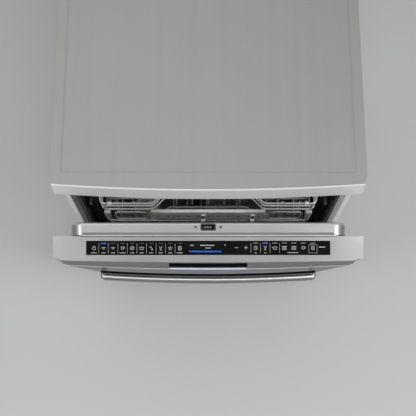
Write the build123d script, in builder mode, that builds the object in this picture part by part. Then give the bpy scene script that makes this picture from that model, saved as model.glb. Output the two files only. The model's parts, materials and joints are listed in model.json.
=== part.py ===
from build123d import *
import os
from math import cos, radians, sin

os.makedirs("parts", exist_ok=True)

# A freestanding dishwasher with its door ajar, in millimetres: X to the right, Y to the back, Z up.
# The floor is Z = 0, and the origin is under the middle of the whole machine as it stands.
# Overall sizes
machine_width = 600
machine_height = 845
worktop_depth = 600
worktop_thickness = 40
worktop_bow = 10.7          # the front edge is this much further forward in the middle
worktop_corner_in = 4       # the front corners are drawn in from the side edges
worktop_corner_run = 19     # and the side edges start to turn in here
worktop_lean = 5            # the front trim's foot stands further forward than its top
trim_thickness = 3
groove_inset = 20           # the pressed line round the worktop
groove_width = 3
groove_depth = 0.8
front_overhang = 35.5       # worktop corner ahead of the cabinet front
rear_overhang = 4
cabinet_inset = 1           # cabinet side inside the worktop edge
sheet = 1                   # steel sheet of the cabinet and the tub
side_return = 10            # folded front edge of a side panel
rear_return = 14
foot_gap = 20               # side panels start above the floor
back_ribs = 3               # level ribs pressed into the back panel
back_rib_pitch = 150
back_rib_length = 420
back_rib_height = 6
# Door, with sizes in Y counted from the hinge axis, forwards or backwards
hinge_z = 122
hinge_setback = 14          # from the axis back to the cabinet front
door_ajar = 10.1            # degrees open as drawn
door_gap_top = 8
door_drop = 31              # the door's foot below the hinge axis
door_side_gap = 3           # the door's side inside the worktop's edge
door_rear = 12
panel_rear = 9.5
side_front = 25.5           # where the door's side ends and its corner starts
crease_in = 6               # front corners of the top inside the door's sides
crease_end = 30.5
crease_mid = 38
face_in = 23                # and those of the front
face_end = 42.5
face_mid = 51
fascia_height = 29
fascia_band = 4             # upright band under the slanting face
fascia_wall = 3
return_rise = 43            # the side returns are cut away up to here above the hinge axis
# Glass strip with the touch fields, and the small display window
glass_width = 467
glass_depth = 27
glass_thickness = 2
glass_from_axis = 10.4      # middle of the strip ahead of the hinge axis
glass_clearance = 0.3
window_width = 151
window_drop = 4
window_height = 14
window_depth = 9
window_clearance = 0.2
board_thickness = 2
board_stand = 2             # short stands under the fascia that carry the board
stand_radius = 3
# Handle
handle_half = 213
handle_top_below = 52       # below the door's top
handle_reach = 77.7         # outer edge ahead of the hinge axis
handle_bow = 7
handle_depth = 16.5
handle_plate = 6
handle_lip = 5
handle_height = 26
handle_end = 9
# Liner of the door
liner_side_gap = 4          # the liner's side inside the tub's wall
liner_rise = 15             # the liner's foot above the tub's floor
liner_top_drop = 7
liner_depth = 39.5          # inner face behind the hinge axis
liner_corner = 25
liner_edge_round = 6
liner_step = 15.5           # front of the part that stands up behind the fascia
edge_trim_width = 5
# Tub
tub_side_room = 28          # between cabinet and tub, for the hinges and springs
roof_room = 9               # between the tub's ceiling and the worktop
tub_floor_rise = 24         # above the base's rim
lip_gap = 2                 # the tub's front lip ends above the base's rim
tub_corner = 20
tub_rear_space = 25
bead_from_tub = 6           # a raised line down each front flange
bead_width = 3
tub_bead_height = 1.5
seal_width = 10
seal_depth = 12
seal_gap = 1
seal_notch = 6              # in the seal's top, where the latch hook drops
# Base, plinth and feet
toe_depth = 50
notch_drop = 7              # top of the toe space below the hinge axis
base_foot = 28
base_wall = 3
rim_over_hinge = 4          # the base's rim above the hinge axis
base_rim_width = 34
base_rim_thickness = 4
plinth_thickness = 3
plinth_foot = 14
plinth_gap = 3              # over the plinth
plinth_inset = 9
foot_radius = 20
foot_plate = 8
foot_screw = 5
foot_inset_x = 45
foot_inset_y = 40
# Hinges
arm_from_side = 12          # middle of a hinge arm inside the cabinet's side
arm_thickness = 3
arm_length = 300
arm_width = 23
cam_radius = 28
pin_radius = 4
pin_clearance = 0.05
pin_overhang = 2.5          # of the hinge pin past the arm
bracket_thickness = 2.5
bracket_arm_height = 26
cord_radius = 2
cord_lift = 0.3
cord_start = 8
cord_hook = 160
spring_radius = 8
spring_bore = 6
spring_start = 100
spring_length = 210
# Racks
rack_lead = 5               # mm that the upper rack runs out for each degree of the door
home_gap = 3.5              # between each rack and the liner of the shut door
upper_side_room = 39        # between the upper rack and the tub's wall, for the runners
upper_end_gap = 7           # between the shut rack and the water duct
upper_rise = 344            # rack floor above the tub's floor
upper_height = 140
recess_half = 80
recess_depth = 24
rim_split = 118
grille = 4
mesh_pitch = 30
slanted_rows = 4            # openings one above another in each slanted part of the front
strip_lap = 12              # the strip laps over the rack's corners
strip_height = 46
strip_rise = 17             # above the rack floor
strip_holes = 9
strip_hole_pitch = 24
strip_hole_radius = 2
grip_lap = 6
grip_radius = 4.5
grip_rise = 100             # above the rack floor
runner_clearance = 0.3
runner_width = 7
runner_height = 16
runner_rise = 81
rail_width = 12
rail_height = 24
rail_end_gap = 54           # between a rail and the tub's back
rail_front = 40
lift_length = 150
lift_height = 80
lever_length = 60
lever_height = 25
lever_thickness = 3
lever_drop = 4              # below the runner
shelf_width = 92
shelf_length = 300
shelf_rise = 91
fold_clearance = 0.9
lower_lead = 0.85           # the same for the lower rack
lower_side_room = 33        # between the lower rack and the tub's wall, for the wheels
lower_end_gap = 13          # between the shut rack and the water duct
lower_rise = 38             # rack floor above the tub's floor
lower_height = 195
lower_front_height = 140
wheel_radius = 14
wheel_width = 9
wheel_out = 14              # middle of a wheel outside the rack's side
wheel_inset = 45
axle_radius = 3
wheel_drop = 9              # axle below the rack floor
ledge_width = 26
ledge_thickness = 4
tine_pitch = 25
tine_first = 0.38           # place of the two rows along the depth of the rack
tine_second = 0.66
tine_height = 66
tine_side_room = 38         # between the end of a row and the rack's side
basket_length = 228
basket_width = 84
basket_height = 125
basket_wall = 2
basket_cells = 3
# Spray arms and water
arm_blade = 50
arm_blade_thickness = 10
lower_arm_radius = 235
lower_arm_rise = 18         # above the tub's floor
upper_arm_radius = 220
hub_radius = 18
hub_rise = 2                # the hub stands above the blade
post_radius = 12            # the post in the sump that the lower arm turns on
jet_radius = 1.5
jet_columns = 7
jet_rows = 2
feed_height = 11
feed_hub_height = 12
hub_clearance = 0.3
duct_width = 50
duct_depth = 8
sump_half_x = 120
sump_half_y = 78
sump_offset = 60
sump_depth = 85
sump_wall = 3
filter_radius = 38
filter_wall = 2
filter_grip_height = 10
filter_clearance = 0.5
turn_grip = 6               # thickness of the grips that the filter and the salt cap turn by
pump_radius = 42
pump_length = 110
motor_radius = 29
motor_length = 44
drain_radius = 24
drain_length = 66
salt_radius = 30
salt_width = 96
salt_height = 60
salt_flange = 4
salt_plug = 12
salt_grip_height = 8
# Dispenser
dispenser_width = 190
dispenser_height = 140
dispenser_depth = 30
dispenser_proud = 1.5
dispenser_centre_z = 415
cup_width = 88
cup_height = 60
cup_depth = 24
lid_thickness = 2.5
lid_border = 4
lid_play = 0.1
cap_width = 40
# Latch
slot_width = 27
slot_depth = 11
latch_depth = 28
latch_wall = 1.5
latch_inset = 9.5           # middle of the slot ahead of the liner's face
hook_length = 58
hook_thickness = 5
hook_width = 12
hook_pin_radius = 1.2
hook_tip = 4
hook_tip_drop = 3           # the raised tip hangs this far below the tub's roof
screw_radius = 3
screw_head = 2
latch_screw_x = 24
door_screw_rows = 3
door_screw_rise = 125       # lowest screw of the liner above its foot
door_screw_drop = 78        # highest one below the door's steel front
plinth_screw_inset = 72     # from the plinth's end
screw_inset = 20            # of the cabinet's screws from the edges that they hold
inlet_radius = 13.2         # outside of a three-quarter-inch water thread
inlet_length = 16
inlet_room = 6
valve_half = 20
valve_length = 50
socket_width = 28
socket_height = 22
socket_round = 3
socket_hole = 4

# Places that follow from these sizes
worktop_under = machine_height - worktop_thickness
door_top = worktop_under - door_gap_top
tub_top = worktop_under - roof_room
cabinet_half = machine_width / 2 - cabinet_inset
inner_half = cabinet_half - sheet
door_half = machine_width / 2 - door_side_gap
crease_half = door_half - crease_in
face_half = door_half - face_in
tub_half = cabinet_half - tub_side_room
arm_centre = cabinet_half - arm_from_side
liner_half = tub_half - liner_side_gap
liner_rim_half = door_half - sheet
upper_half = tub_half - upper_side_room
lower_half = tub_half - lower_side_room
wheel_centre = lower_half + wheel_out
tine_row = lower_half - tine_side_room
strip_half = rim_split + strip_lap
grip_half = rim_split + grip_lap
base_rim_z = hinge_z + rim_over_hinge
tub_lip_foot = base_rim_z + lip_gap
tub_floor_z = base_rim_z + tub_floor_rise
liner_foot = tub_floor_z + liner_rise
flange_foot = liner_foot
door_foot = hinge_z - door_drop
return_cut = hinge_z + return_rise
notch_height = hinge_z - notch_drop
plinth_top = notch_height - plinth_gap
lower_arm_z = tub_floor_z + lower_arm_rise
lower_floor_z = tub_floor_z + lower_rise
upper_floor_z = tub_floor_z + upper_rise
strip_foot = upper_floor_z + strip_rise
grip_z = upper_floor_z + grip_rise
runner_z = upper_floor_z + runner_rise
shelf_z = upper_floor_z + shelf_rise
latch_from_axis = liner_depth - latch_inset
slope_height = fascia_height - fascia_band
handle_top = door_top - handle_top_below
lean = radians(door_ajar)
front_reach = handle_reach * cos(lean) + (handle_top - hinge_z) * sin(lean)
rear_reach = worktop_depth - worktop_bow - front_overhang + hinge_setback
hinge_y = (front_reach - rear_reach) / 2
hinge_axis = Axis((0, hinge_y, hinge_z), (1, 0, 0))
front_y = hinge_y + hinge_setback
corner_y = front_y - front_overhang
rear_y = hinge_y + rear_reach
cabinet_rear = rear_y - rear_overhang
tub_rear = cabinet_rear - sheet - tub_rear_space
tub_mid_y = (front_y + tub_rear) / 2
riser_front = tub_rear - duct_depth
base_front = front_y + toe_depth
base_rear = cabinet_rear - sheet
panel_top = door_top - fascia_height
seal_front = hinge_y + liner_depth + seal_gap


def front_plane(y):
    """A sketch plane that faces forward, with sketch points given as (x, z)."""
    return Plane(origin=(0, y, 0), x_dir=(1, 0, 0), z_dir=(0, -1, 0))


def side_plane(x):
    """A sketch plane that faces right, with sketch points given as (y, z)."""
    return Plane.YZ.offset(x)


def block(low, high, mode=Mode.ADD):
    """A box from its lowest to its highest corner, in the part that is being built."""
    size = [b - a for a, b in zip(low, high)]
    with Locations(low):
        Box(*size, align=(Align.MIN, Align.MIN, Align.MIN), mode=mode)


def keep(piece, name):
    """Label a finished piece and write it."""
    piece.part.label = name
    export_step(piece.part, f"parts/{name}.step")


def keep_on_door(piece, name):
    """Swing a piece that was drawn on the shut door open with it, then label and write it."""
    swung = piece.part.rotate(hinge_axis, door_ajar)
    swung.label = name
    export_step(swung, f"parts/{name}.step")


def worktop_outline(grow, lead):
    """The worktop in plan: square at the back, drawn in at the front corners and bowed."""
    half = machine_width / 2 + grow
    corner = (half - worktop_corner_in, corner_y - lead)
    with BuildSketch() as outline:
        with BuildLine():
            Polyline(
                (-corner[0], corner[1]),
                (-half, corner_y + worktop_corner_run),
                (-half, rear_y),
                (half, rear_y),
                (half, corner_y + worktop_corner_run),
                corner,
            )
            ThreePointArc(corner, (0, corner[1] - worktop_bow), (-corner[0], corner[1]))
        make_face()
    return outline.sketch


def door_outline(corner_x, corner_ahead, mid_ahead, wall=0, rear=door_rear):
    """The door in plan: straight back and sides, bevelled front corners and a bowed front."""
    half = door_half - wall
    corner_x = corner_x - wall / 2
    corner_front = hinge_y - corner_ahead + wall
    side_y = hinge_y - side_front + wall / 2
    with BuildSketch() as outline:
        with BuildLine():
            Polyline(
                (-corner_x, corner_front),
                (-half, side_y),
                (-half, hinge_y + rear),
                (half, hinge_y + rear),
                (half, side_y),
                (corner_x, corner_front),
            )
            ThreePointArc(
                (corner_x, corner_front), (0, hinge_y - mid_ahead + wall), (-corner_x, corner_front)
            )
        make_face()
    return outline.sketch


# Worktop: a board with a pressed line near its edge, and a trim along its bowed front
board_outline = worktop_outline(0, -trim_thickness)
groove_half = machine_width / 2 - groove_inset
groove_front = corner_y + groove_inset + worktop_bow / 2
groove_rear = rear_y - groove_inset
with BuildPart() as worktop:
    with BuildSketch(Plane.XY.offset(worktop_under)):
        add(board_outline)
    extrude(amount=worktop_thickness)
    with BuildSketch(Plane.XY.offset(machine_height)):
        with Locations((0, (groove_front + groove_rear) / 2)):
            RectangleRounded(2 * groove_half, groove_rear - groove_front, 2 * groove_width)
            RectangleRounded(
                2 * groove_half - 2 * groove_width,
                groove_rear - groove_front - 2 * groove_width,
                groove_width,
                mode=Mode.SUBTRACT,
            )
    extrude(amount=-groove_depth, mode=Mode.SUBTRACT)
keep(worktop, "worktop")

trim_foot = worktop_outline(0, worktop_lean)
trim_head = worktop_outline(0, 0)
with BuildPart() as worktop_trim:
    with BuildSketch(Plane.XY.offset(worktop_under)):
        add(trim_foot)
    with BuildSketch(Plane.XY.offset(machine_height)):
        add(trim_head)
    loft(ruled=True)
    with BuildSketch(Plane.XY.offset(worktop_under)):
        add(board_outline)
    extrude(amount=worktop_thickness, mode=Mode.SUBTRACT)
    block(
        (-machine_width, corner_y + worktop_corner_run, worktop_under),
        (machine_width, rear_y + sheet, machine_height),
        Mode.SUBTRACT,
    )
keep(worktop_trim, "worktop_front_trim")

# Cabinet: two folded side panels and a back panel
for side, name in ((-1, "left_side_panel"), (1, "right_side_panel")):
    near, far = sorted((side * inner_half, side * cabinet_half))
    fold_near, fold_far = sorted((side * (cabinet_half - side_return), side * cabinet_half))
    back_near, back_far = sorted((side * (cabinet_half - rear_return), side * cabinet_half))
    with BuildPart() as side_panel:
        with BuildSketch(side_plane(near)):
            Polygon(
                (base_front, foot_gap),
                (cabinet_rear, foot_gap),
                (cabinet_rear, worktop_under),
                (front_y, worktop_under),
                (front_y, notch_height),
                (base_front, notch_height),
                align=None,
            )
        extrude(amount=far - near)
        block((fold_near, front_y, flange_foot), (fold_far, front_y + sheet, worktop_under))
        block(
            (back_near, cabinet_rear - sheet, base_rim_z), (back_far, cabinet_rear, worktop_under)
        )
    keep(side_panel, name)

with BuildPart() as back_panel:
    block(
        (rear_return - cabinet_half, cabinet_rear - sheet, base_rim_z),
        (cabinet_half - rear_return, cabinet_rear, worktop_under),
    )
    with BuildSketch(front_plane(cabinet_rear)):
        with GridLocations(0, back_rib_pitch, 1, back_ribs):
            with Locations((0, (base_rim_z + worktop_under) / 2)):
                SlotOverall(back_rib_length, back_rib_height)
    extrude(amount=sheet / 2, mode=Mode.SUBTRACT)
keep(back_panel, "back_panel")

# Base: a plastic tray with a rim that the tub stands on, and a post behind each door spring
spring_rear = hinge_y + spring_start + spring_length
spring_z = hinge_z + cam_radius + cord_lift + cord_radius
rim_under = base_rim_z - base_rim_thickness
bracket_foot = hinge_z - bracket_arm_height / 2
bracket_head = hinge_z + bracket_arm_height / 2
bracket_low = inner_half - base_wall - bracket_thickness
inlet_x = tub_half - 3 * inlet_radius
inlet_z = base_foot + 2 * inlet_radius
inlet_end = rear_y - sheet
with BuildPart() as base_tray:
    block((-inner_half, base_front, base_foot), (inner_half, base_rear, base_rim_z))
    block(
        (base_wall - inner_half, base_front + base_wall, base_foot + base_wall),
        (inner_half - base_wall, base_rear - base_wall, rim_under),
        Mode.SUBTRACT,
    )
    block(
        (base_rim_width - inner_half, base_front + base_wall, base_foot + base_wall),
        (inner_half - base_rim_width, base_rear - base_rim_width, base_rim_z),
        Mode.SUBTRACT,
    )
    for side in (-1, 1):
        block(
            (side * arm_centre - spring_radius, spring_rear, base_rim_z),
            (side * arm_centre + spring_radius, spring_rear + base_wall, spring_z + spring_radius),
        )
        slot_low, slot_high = sorted((side * bracket_low, side * (inner_half - base_wall)))
        block(
            (slot_low, base_front, bracket_foot),
            (slot_high, base_front + base_wall, base_rim_z),
            Mode.SUBTRACT,
        )
    with BuildSketch(front_plane(base_rear)):
        with Locations((inlet_x, inlet_z)):
            Circle(inlet_radius + inlet_room)
    extrude(amount=base_wall, mode=Mode.SUBTRACT)
keep(base_tray, "base_tray")

with BuildPart() as plinth:
    block(
        (plinth_inset - inner_half, base_front - plinth_thickness, plinth_foot),
        (inner_half - plinth_inset, base_front, plinth_top),
    )
keep(plinth, "plinth")

foot_x = inner_half - foot_inset_x
with BuildPart() as levelling_feet:
    for x in (-foot_x, foot_x):
        for y in (base_front + foot_inset_y, base_rear - foot_inset_y):
            with Locations((x, y, 0)):
                Cylinder(foot_radius, foot_plate, align=(Align.CENTER, Align.CENTER, Align.MIN))
                Cylinder(foot_screw, base_foot, align=(Align.CENTER, Align.CENTER, Align.MIN))
keep(levelling_feet, "levelling_feet")

# Tub: one folded sheet for the sides and roof, with a ledge on each side for the rack's wheels
wheel_z = lower_floor_z - wheel_drop
ledge_top = wheel_z - wheel_radius - hub_clearance
tub_outer = tub_half + sheet
bead_x = tub_half + bead_from_tub
roof_top = tub_top + sheet
hook_slot_front = hinge_y + latch_from_axis - slot_depth / 2 - hook_tip / 2
hook_pivot_y = hinge_y + latch_from_axis + hook_length
hook_foot = roof_top + sheet
hook_pivot_z = hook_foot + hook_thickness / 2
ear_near = hook_width / 2 + hub_clearance
with BuildPart() as tub_wrapper:
    with BuildSketch(front_plane(tub_rear + sheet)):
        with Locations((0, (roof_top + base_rim_z) / 2)):
            RectangleRounded(2 * tub_outer, roof_top - base_rim_z, tub_corner)
            RectangleRounded(
                2 * tub_half, roof_top - base_rim_z - 2 * sheet, tub_corner - sheet, mode=Mode.SUBTRACT
            )
        with Locations((0, base_rim_z + tub_corner / 2)):
            Rectangle(2 * tub_outer, tub_corner, mode=Mode.SUBTRACT)
        for side in (-1, 1):
            with Locations((side * (tub_half + sheet / 2), base_rim_z + tub_corner / 2)):
                Rectangle(sheet, tub_corner)
    extrude(amount=tub_rear + sheet - front_y)
    with BuildSketch(front_plane(front_y + sheet)):
        with Locations((0, (roof_top + flange_foot) / 2)):
            Rectangle(2 * (cabinet_half - side_return), roof_top - flange_foot)
        with Locations((0, (tub_top + flange_foot) / 2)):
            RectangleRounded(2 * tub_half, tub_top - flange_foot, tub_corner - sheet, mode=Mode.SUBTRACT)
            Rectangle(2 * tub_half, tub_top - flange_foot - tub_corner, mode=Mode.SUBTRACT)
        with Locations((0, flange_foot + tub_corner / 2)):
            Rectangle(2 * tub_half, tub_corner, mode=Mode.SUBTRACT)
    extrude(amount=sheet)
    for side in (-1, 1):
        block(
            (side * bead_x - bead_width / 2, front_y - tub_bead_height, flange_foot),
            (side * bead_x + bead_width / 2, front_y, roof_top),
        )
        ledge_low, ledge_high = sorted((side * (tub_half - ledge_width), side * tub_half))
        block(
            (ledge_low, seal_front + seal_depth, ledge_top - ledge_thickness),
            (ledge_high, tub_rear - tub_rear_space, ledge_top),
        )
        ear_low, ear_high = sorted((side * ear_near, side * (ear_near + 2 * sheet)))
        block(
            (ear_low, hook_pivot_y - hook_thickness, roof_top),
            (ear_high, hook_pivot_y + hook_thickness, worktop_under),
        )
    block(
        (-ear_near, hook_slot_front, tub_top - sheet),
        (ear_near, hook_pivot_y - hook_thickness, roof_top + sheet),
        Mode.SUBTRACT,
    )
    with BuildSketch(side_plane(-ear_near)):
        with Locations((hook_pivot_y, hook_pivot_z)):
            Circle(hook_pin_radius)
    extrude(amount=2 * ear_near)
keep(tub_wrapper, "tub_wrapper")

with BuildPart() as tub_back:
    block((-tub_half, tub_rear, tub_floor_z), (tub_half, tub_rear + sheet, tub_top - tub_corner))
keep(tub_back, "tub_back")

sump_x = (sump_offset - sump_half_x, sump_offset + sump_half_x)
sump_y = (tub_mid_y - sump_half_y, tub_mid_y + sump_half_y)
filter_x = 2 * sump_offset
salt_x = -tub_half / 2 - salt_radius
salt_y = front_y + toe_depth + 2 * salt_radius
with BuildPart() as tub_floor:
    block((-tub_half, front_y, tub_floor_z - sheet), (tub_half, tub_rear, tub_floor_z))
    block((-tub_half, front_y, tub_lip_foot), (tub_half, front_y + sheet, tub_floor_z))
    block(
        (sump_x[0], sump_y[0], tub_floor_z - 2 * sheet),
        (sump_x[1], sump_y[1], tub_floor_z + sheet),
        Mode.SUBTRACT,
    )
    with Locations((salt_x, salt_y, tub_floor_z)):
        Cylinder(salt_radius, 4 * sheet, mode=Mode.SUBTRACT)
keep(tub_floor, "tub_floor")

with BuildPart() as tub_seal:
    with BuildSketch(front_plane(seal_front + seal_depth)):
        with Locations((0, (tub_top + flange_foot) / 2)):
            RectangleRounded(2 * tub_half, tub_top - flange_foot, tub_corner - sheet)
            RectangleRounded(
                2 * (tub_half - seal_width),
                tub_top - flange_foot - 2 * seal_width,
                tub_corner - sheet,
                mode=Mode.SUBTRACT,
            )
        with Locations((0, flange_foot + tub_corner)):
            Rectangle(2 * tub_half, 2 * tub_corner, mode=Mode.SUBTRACT)
        with Locations((0, tub_top)):
            Rectangle(2 * ear_near, 2 * seal_notch, mode=Mode.SUBTRACT)
    extrude(amount=seal_depth)
keep(tub_seal, "tub_seal")

# Water and sump, under and behind the tub floor
filter_plate_z = tub_floor_z - 4 * sheet
with BuildPart() as sump:
    block((sump_x[0], sump_y[0], tub_floor_z - sump_depth), (sump_x[1], sump_y[1], filter_plate_z))
    block(
        (sump_x[0] + sump_wall, sump_y[0] + sump_wall, tub_floor_z - sump_depth + sump_wall),
        (sump_x[1] - sump_wall, sump_y[1] - sump_wall, filter_plate_z + sheet),
        Mode.SUBTRACT,
    )
    with Locations((0, tub_mid_y, tub_floor_z - sump_depth + sump_wall)):
        Cylinder(
            post_radius,
            lower_arm_z - hub_clearance - tub_floor_z + sump_depth - sump_wall,
            align=(Align.CENTER, Align.CENTER, Align.MIN),
        )
keep(sump, "sump")

with BuildPart() as filter_plate:
    block((sump_x[0], sump_y[0], filter_plate_z), (sump_x[1], sump_y[1], tub_floor_z))
    with Locations((0, tub_mid_y, filter_plate_z)):
        Cylinder(post_radius + filter_clearance, 10 * sheet, mode=Mode.SUBTRACT)
    with Locations((filter_x, tub_mid_y, filter_plate_z)):
        Cylinder(filter_radius + filter_clearance, 10 * sheet, mode=Mode.SUBTRACT)
keep(filter_plate, "filter_plate")

filter_depth = sump_depth - sump_wall - hub_clearance
with BuildPart() as filter_cup:
    with Locations((filter_x, tub_mid_y, tub_floor_z - filter_depth)):
        Cylinder(filter_radius, filter_depth, align=(Align.CENTER, Align.CENTER, Align.MIN))
        Cylinder(
            filter_radius - filter_wall,
            filter_depth - filter_wall,
            align=(Align.CENTER, Align.CENTER, Align.MIN),
            mode=Mode.SUBTRACT,
        )
    block(
        (filter_x - turn_grip / 2, tub_mid_y - filter_radius / 2, tub_floor_z),
        (filter_x + turn_grip / 2, tub_mid_y + filter_radius / 2, tub_floor_z + filter_grip_height),
    )
keep(filter_cup, "filter_cup")

pump_z = base_foot + base_wall + pump_radius
with BuildPart() as circulation_pump:
    with BuildSketch(side_plane(sump_x[0] - pump_length)):
        with Locations((tub_mid_y, pump_z)):
            Circle(pump_radius)
    extrude(amount=pump_length)
    with BuildSketch(side_plane(sump_x[0] - pump_length - motor_length)):
        with Locations((tub_mid_y, pump_z)):
            Circle(motor_radius)
    extrude(amount=motor_length)
keep(circulation_pump, "circulation_pump")

drain_z = base_foot + base_wall + 2 * drain_radius
with BuildPart() as drain_pump:
    with BuildSketch(side_plane(sump_x[1])):
        with Locations((tub_mid_y, drain_z)):
            Circle(drain_radius)
    extrude(amount=drain_length)
    block(
        (sump_x[1], tub_mid_y - drain_radius, base_foot + base_wall),
        (sump_x[1] + drain_length, tub_mid_y + drain_radius, drain_z),
    )
keep(drain_pump, "drain_pump")

with BuildPart() as softener:
    block(
        (salt_x - salt_width / 2, salt_y - salt_width / 2, tub_floor_z - sheet - salt_height),
        (salt_x + salt_width / 2, salt_y + salt_width / 2, tub_floor_z - sheet),
    )
    with Locations((salt_x, salt_y, tub_floor_z)):
        Cylinder(salt_radius - filter_clearance, salt_height, mode=Mode.SUBTRACT)
    block(
        (salt_x - salt_width / 2, salt_y - base_wall, base_foot + base_wall),
        (salt_x + salt_width / 2, salt_y + base_wall, tub_floor_z - sheet - salt_height),
    )
keep(softener, "softener")

with BuildPart() as salt_cap:
    with Locations((salt_x, salt_y, tub_floor_z)):
        Cylinder(
            salt_radius + salt_flange,
            salt_flange,
            align=(Align.CENTER, Align.CENTER, Align.MIN),
        )
        Cylinder(
            salt_radius - 2 * filter_clearance,
            salt_plug,
            align=(Align.CENTER, Align.CENTER, Align.MAX),
        )
    block(
        (salt_x - salt_radius, salt_y - turn_grip / 2, tub_floor_z + salt_flange),
        (salt_x + salt_radius, salt_y + turn_grip / 2, tub_floor_z + salt_flange + salt_grip_height),
    )
keep(salt_cap, "salt_cap")

with BuildPart() as inlet_valve:
    with BuildSketch(front_plane(inlet_end)):
        with Locations((inlet_x, inlet_z)):
            Circle(inlet_radius)
            Circle(inlet_radius - base_wall, mode=Mode.SUBTRACT)
    extrude(amount=inlet_length)
    block(
        (inlet_x - valve_half, inlet_end - inlet_length - valve_length, base_foot + base_wall),
        (inlet_x + valve_half, inlet_end - inlet_length, inlet_z + valve_half),
    )
keep(inlet_valve, "inlet_valve")

with BuildPart() as power_inlet:
    with BuildSketch(front_plane(base_rear + rear_overhang)):
        with Locations((-inlet_x, inlet_z)):
            RectangleRounded(socket_width, socket_height, socket_round)
            Circle(socket_hole, mode=Mode.SUBTRACT)
    extrude(amount=rear_overhang)
keep(power_inlet, "power_inlet")

# Hinges: a bracket with a riveted pin on each side, an arm with a round cam on the door,
# and a cord from each cam to a long spring beside the tub
with BuildPart() as hinge_brackets:
    for side in (-1, 1):
        plate_near = min(side * bracket_low, side * (bracket_low + bracket_thickness))
        with BuildSketch(side_plane(plate_near)):
            with Locations((hinge_y, hinge_z)):
                Circle(bracket_arm_height / 2)
            Polygon(
                (hinge_y, bracket_foot),
                (base_front + base_wall, bracket_foot),
                (base_front + base_wall, base_foot + base_wall),
                (base_front + toe_depth, base_foot + base_wall),
                (base_front + toe_depth, rim_under),
                (base_front, rim_under),
                (base_front, bracket_head),
                (hinge_y, bracket_head),
                align=None,
            )
        extrude(amount=bracket_thickness)
        pin_end = side * (arm_centre - arm_thickness / 2 - pin_overhang)
        pin_low, pin_high = sorted((pin_end, side * (bracket_low + bracket_thickness)))
        with BuildSketch(side_plane(pin_low)):
            with Locations((hinge_y, hinge_z)):
                Circle(pin_radius)
        extrude(amount=pin_high - pin_low)
keep(hinge_brackets, "hinge_brackets")

with BuildPart() as hinge_arms:
    for side in (-1, 1):
        with BuildSketch(side_plane(side * arm_centre - arm_thickness / 2)):
            with Locations((hinge_y, hinge_z)):
                Circle(cam_radius)
            with Locations((hinge_y + panel_rear - arm_width / 2, hinge_z + arm_length / 2)):
                Rectangle(arm_width, arm_length)
            with Locations((hinge_y, hinge_z)):
                Circle(pin_radius + pin_clearance, mode=Mode.SUBTRACT)
        extrude(amount=arm_thickness)
keep_on_door(hinge_arms, "hinge_arms")

with BuildPart() as door_springs:
    for side in (-1, 1):
        with BuildSketch(front_plane(spring_rear)):
            with Locations((side * arm_centre, spring_z)):
                Circle(spring_radius)
                Circle(spring_bore, mode=Mode.SUBTRACT)
        extrude(amount=spring_length)
keep(door_springs, "door_springs")

with BuildPart() as spring_cords:
    for side in (-1, 1):
        with BuildSketch(front_plane(hinge_y + cord_hook)):
            with Locations((side * arm_centre, spring_z)):
                Circle(cord_radius)
        extrude(amount=cord_hook - cord_start)
        with Locations((side * arm_centre, hinge_y + cord_hook, spring_z)):
            Sphere(spring_bore - hub_clearance)
keep(spring_cords, "spring_cords")

# Door skin: a bowed steel panel with folded edges, closed by the liner behind
face = (face_half, face_end, face_mid)
with BuildPart() as door_panel:
    with BuildSketch(Plane.XY.offset(door_foot)):
        add(door_outline(*face, rear=panel_rear))
    extrude(amount=panel_top - door_foot)
    with BuildSketch(Plane.XY.offset(door_foot + sheet)):
        add(door_outline(*face, wall=sheet, rear=panel_rear + sheet))
    extrude(amount=panel_top - door_foot - 2 * sheet, mode=Mode.SUBTRACT)
    with BuildSketch(side_plane(-machine_width)):
        Polygon(
            (hinge_y - side_front, door_foot - sheet),
            (hinge_y + door_rear, door_foot - sheet),
            (hinge_y + door_rear, return_cut),
            (hinge_y + panel_rear, return_cut),
            (hinge_y - 2 * door_rear, door_foot),
            align=None,
        )
    extrude(amount=2 * machine_width, mode=Mode.SUBTRACT)
keep_on_door(door_panel, "door_panel")

window_top = door_top - window_drop
window_back = hinge_y - crease_end + window_depth / 2


def fascia_block():
    """The solid form of the fascia: upright below, slanting to the crease above."""
    with BuildPart() as form:
        with BuildSketch(Plane.XY.offset(panel_top)):
            add(door_outline(*face))
        extrude(amount=fascia_height - slope_height)
        with BuildSketch(Plane.XY.offset(door_top - slope_height)):
            add(door_outline(*face))
        with BuildSketch(Plane.XY.offset(door_top)):
            add(door_outline(crease_half, crease_end, crease_mid))
        loft(ruled=True)
    return form.part


with BuildPart() as fascia:
    add(fascia_block())
    with BuildSketch(Plane.XY.offset(panel_top)):
        add(
            door_outline(
                crease_half, crease_end, crease_mid, wall=fascia_wall, rear=door_rear - fascia_wall
            )
        )
    extrude(amount=fascia_height - fascia_wall, mode=Mode.SUBTRACT)
    block(
        (
            -glass_width / 2 - glass_clearance,
            hinge_y - glass_from_axis - glass_depth / 2 - glass_clearance,
            door_top - glass_thickness,
        ),
        (
            glass_width / 2 + glass_clearance,
            hinge_y - glass_from_axis + glass_depth / 2 + glass_clearance,
            door_top + sheet,
        ),
        Mode.SUBTRACT,
    )
    block(
        (
            -window_width / 2 - window_clearance,
            hinge_y - face_mid - sheet,
            window_top - window_height - window_clearance,
        ),
        (window_width / 2 + window_clearance, window_back, window_top + window_clearance),
        Mode.SUBTRACT,
    )
keep_on_door(fascia, "fascia")

with BuildPart() as control_glass:
    block(
        (
            -glass_width / 2,
            hinge_y - glass_from_axis - glass_depth / 2,
            door_top - glass_thickness,
        ),
        (glass_width / 2, hinge_y - glass_from_axis + glass_depth / 2, door_top),
    )
keep_on_door(control_glass, "control_glass")

with BuildPart() as display_window:
    add(fascia_block())
    block(
        (-window_width / 2, hinge_y - face_mid - sheet, window_top - window_height),
        (window_width / 2, window_back - fascia_wall, window_top),
        Mode.INTERSECT,
    )
keep_on_door(display_window, "display_window")

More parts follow.
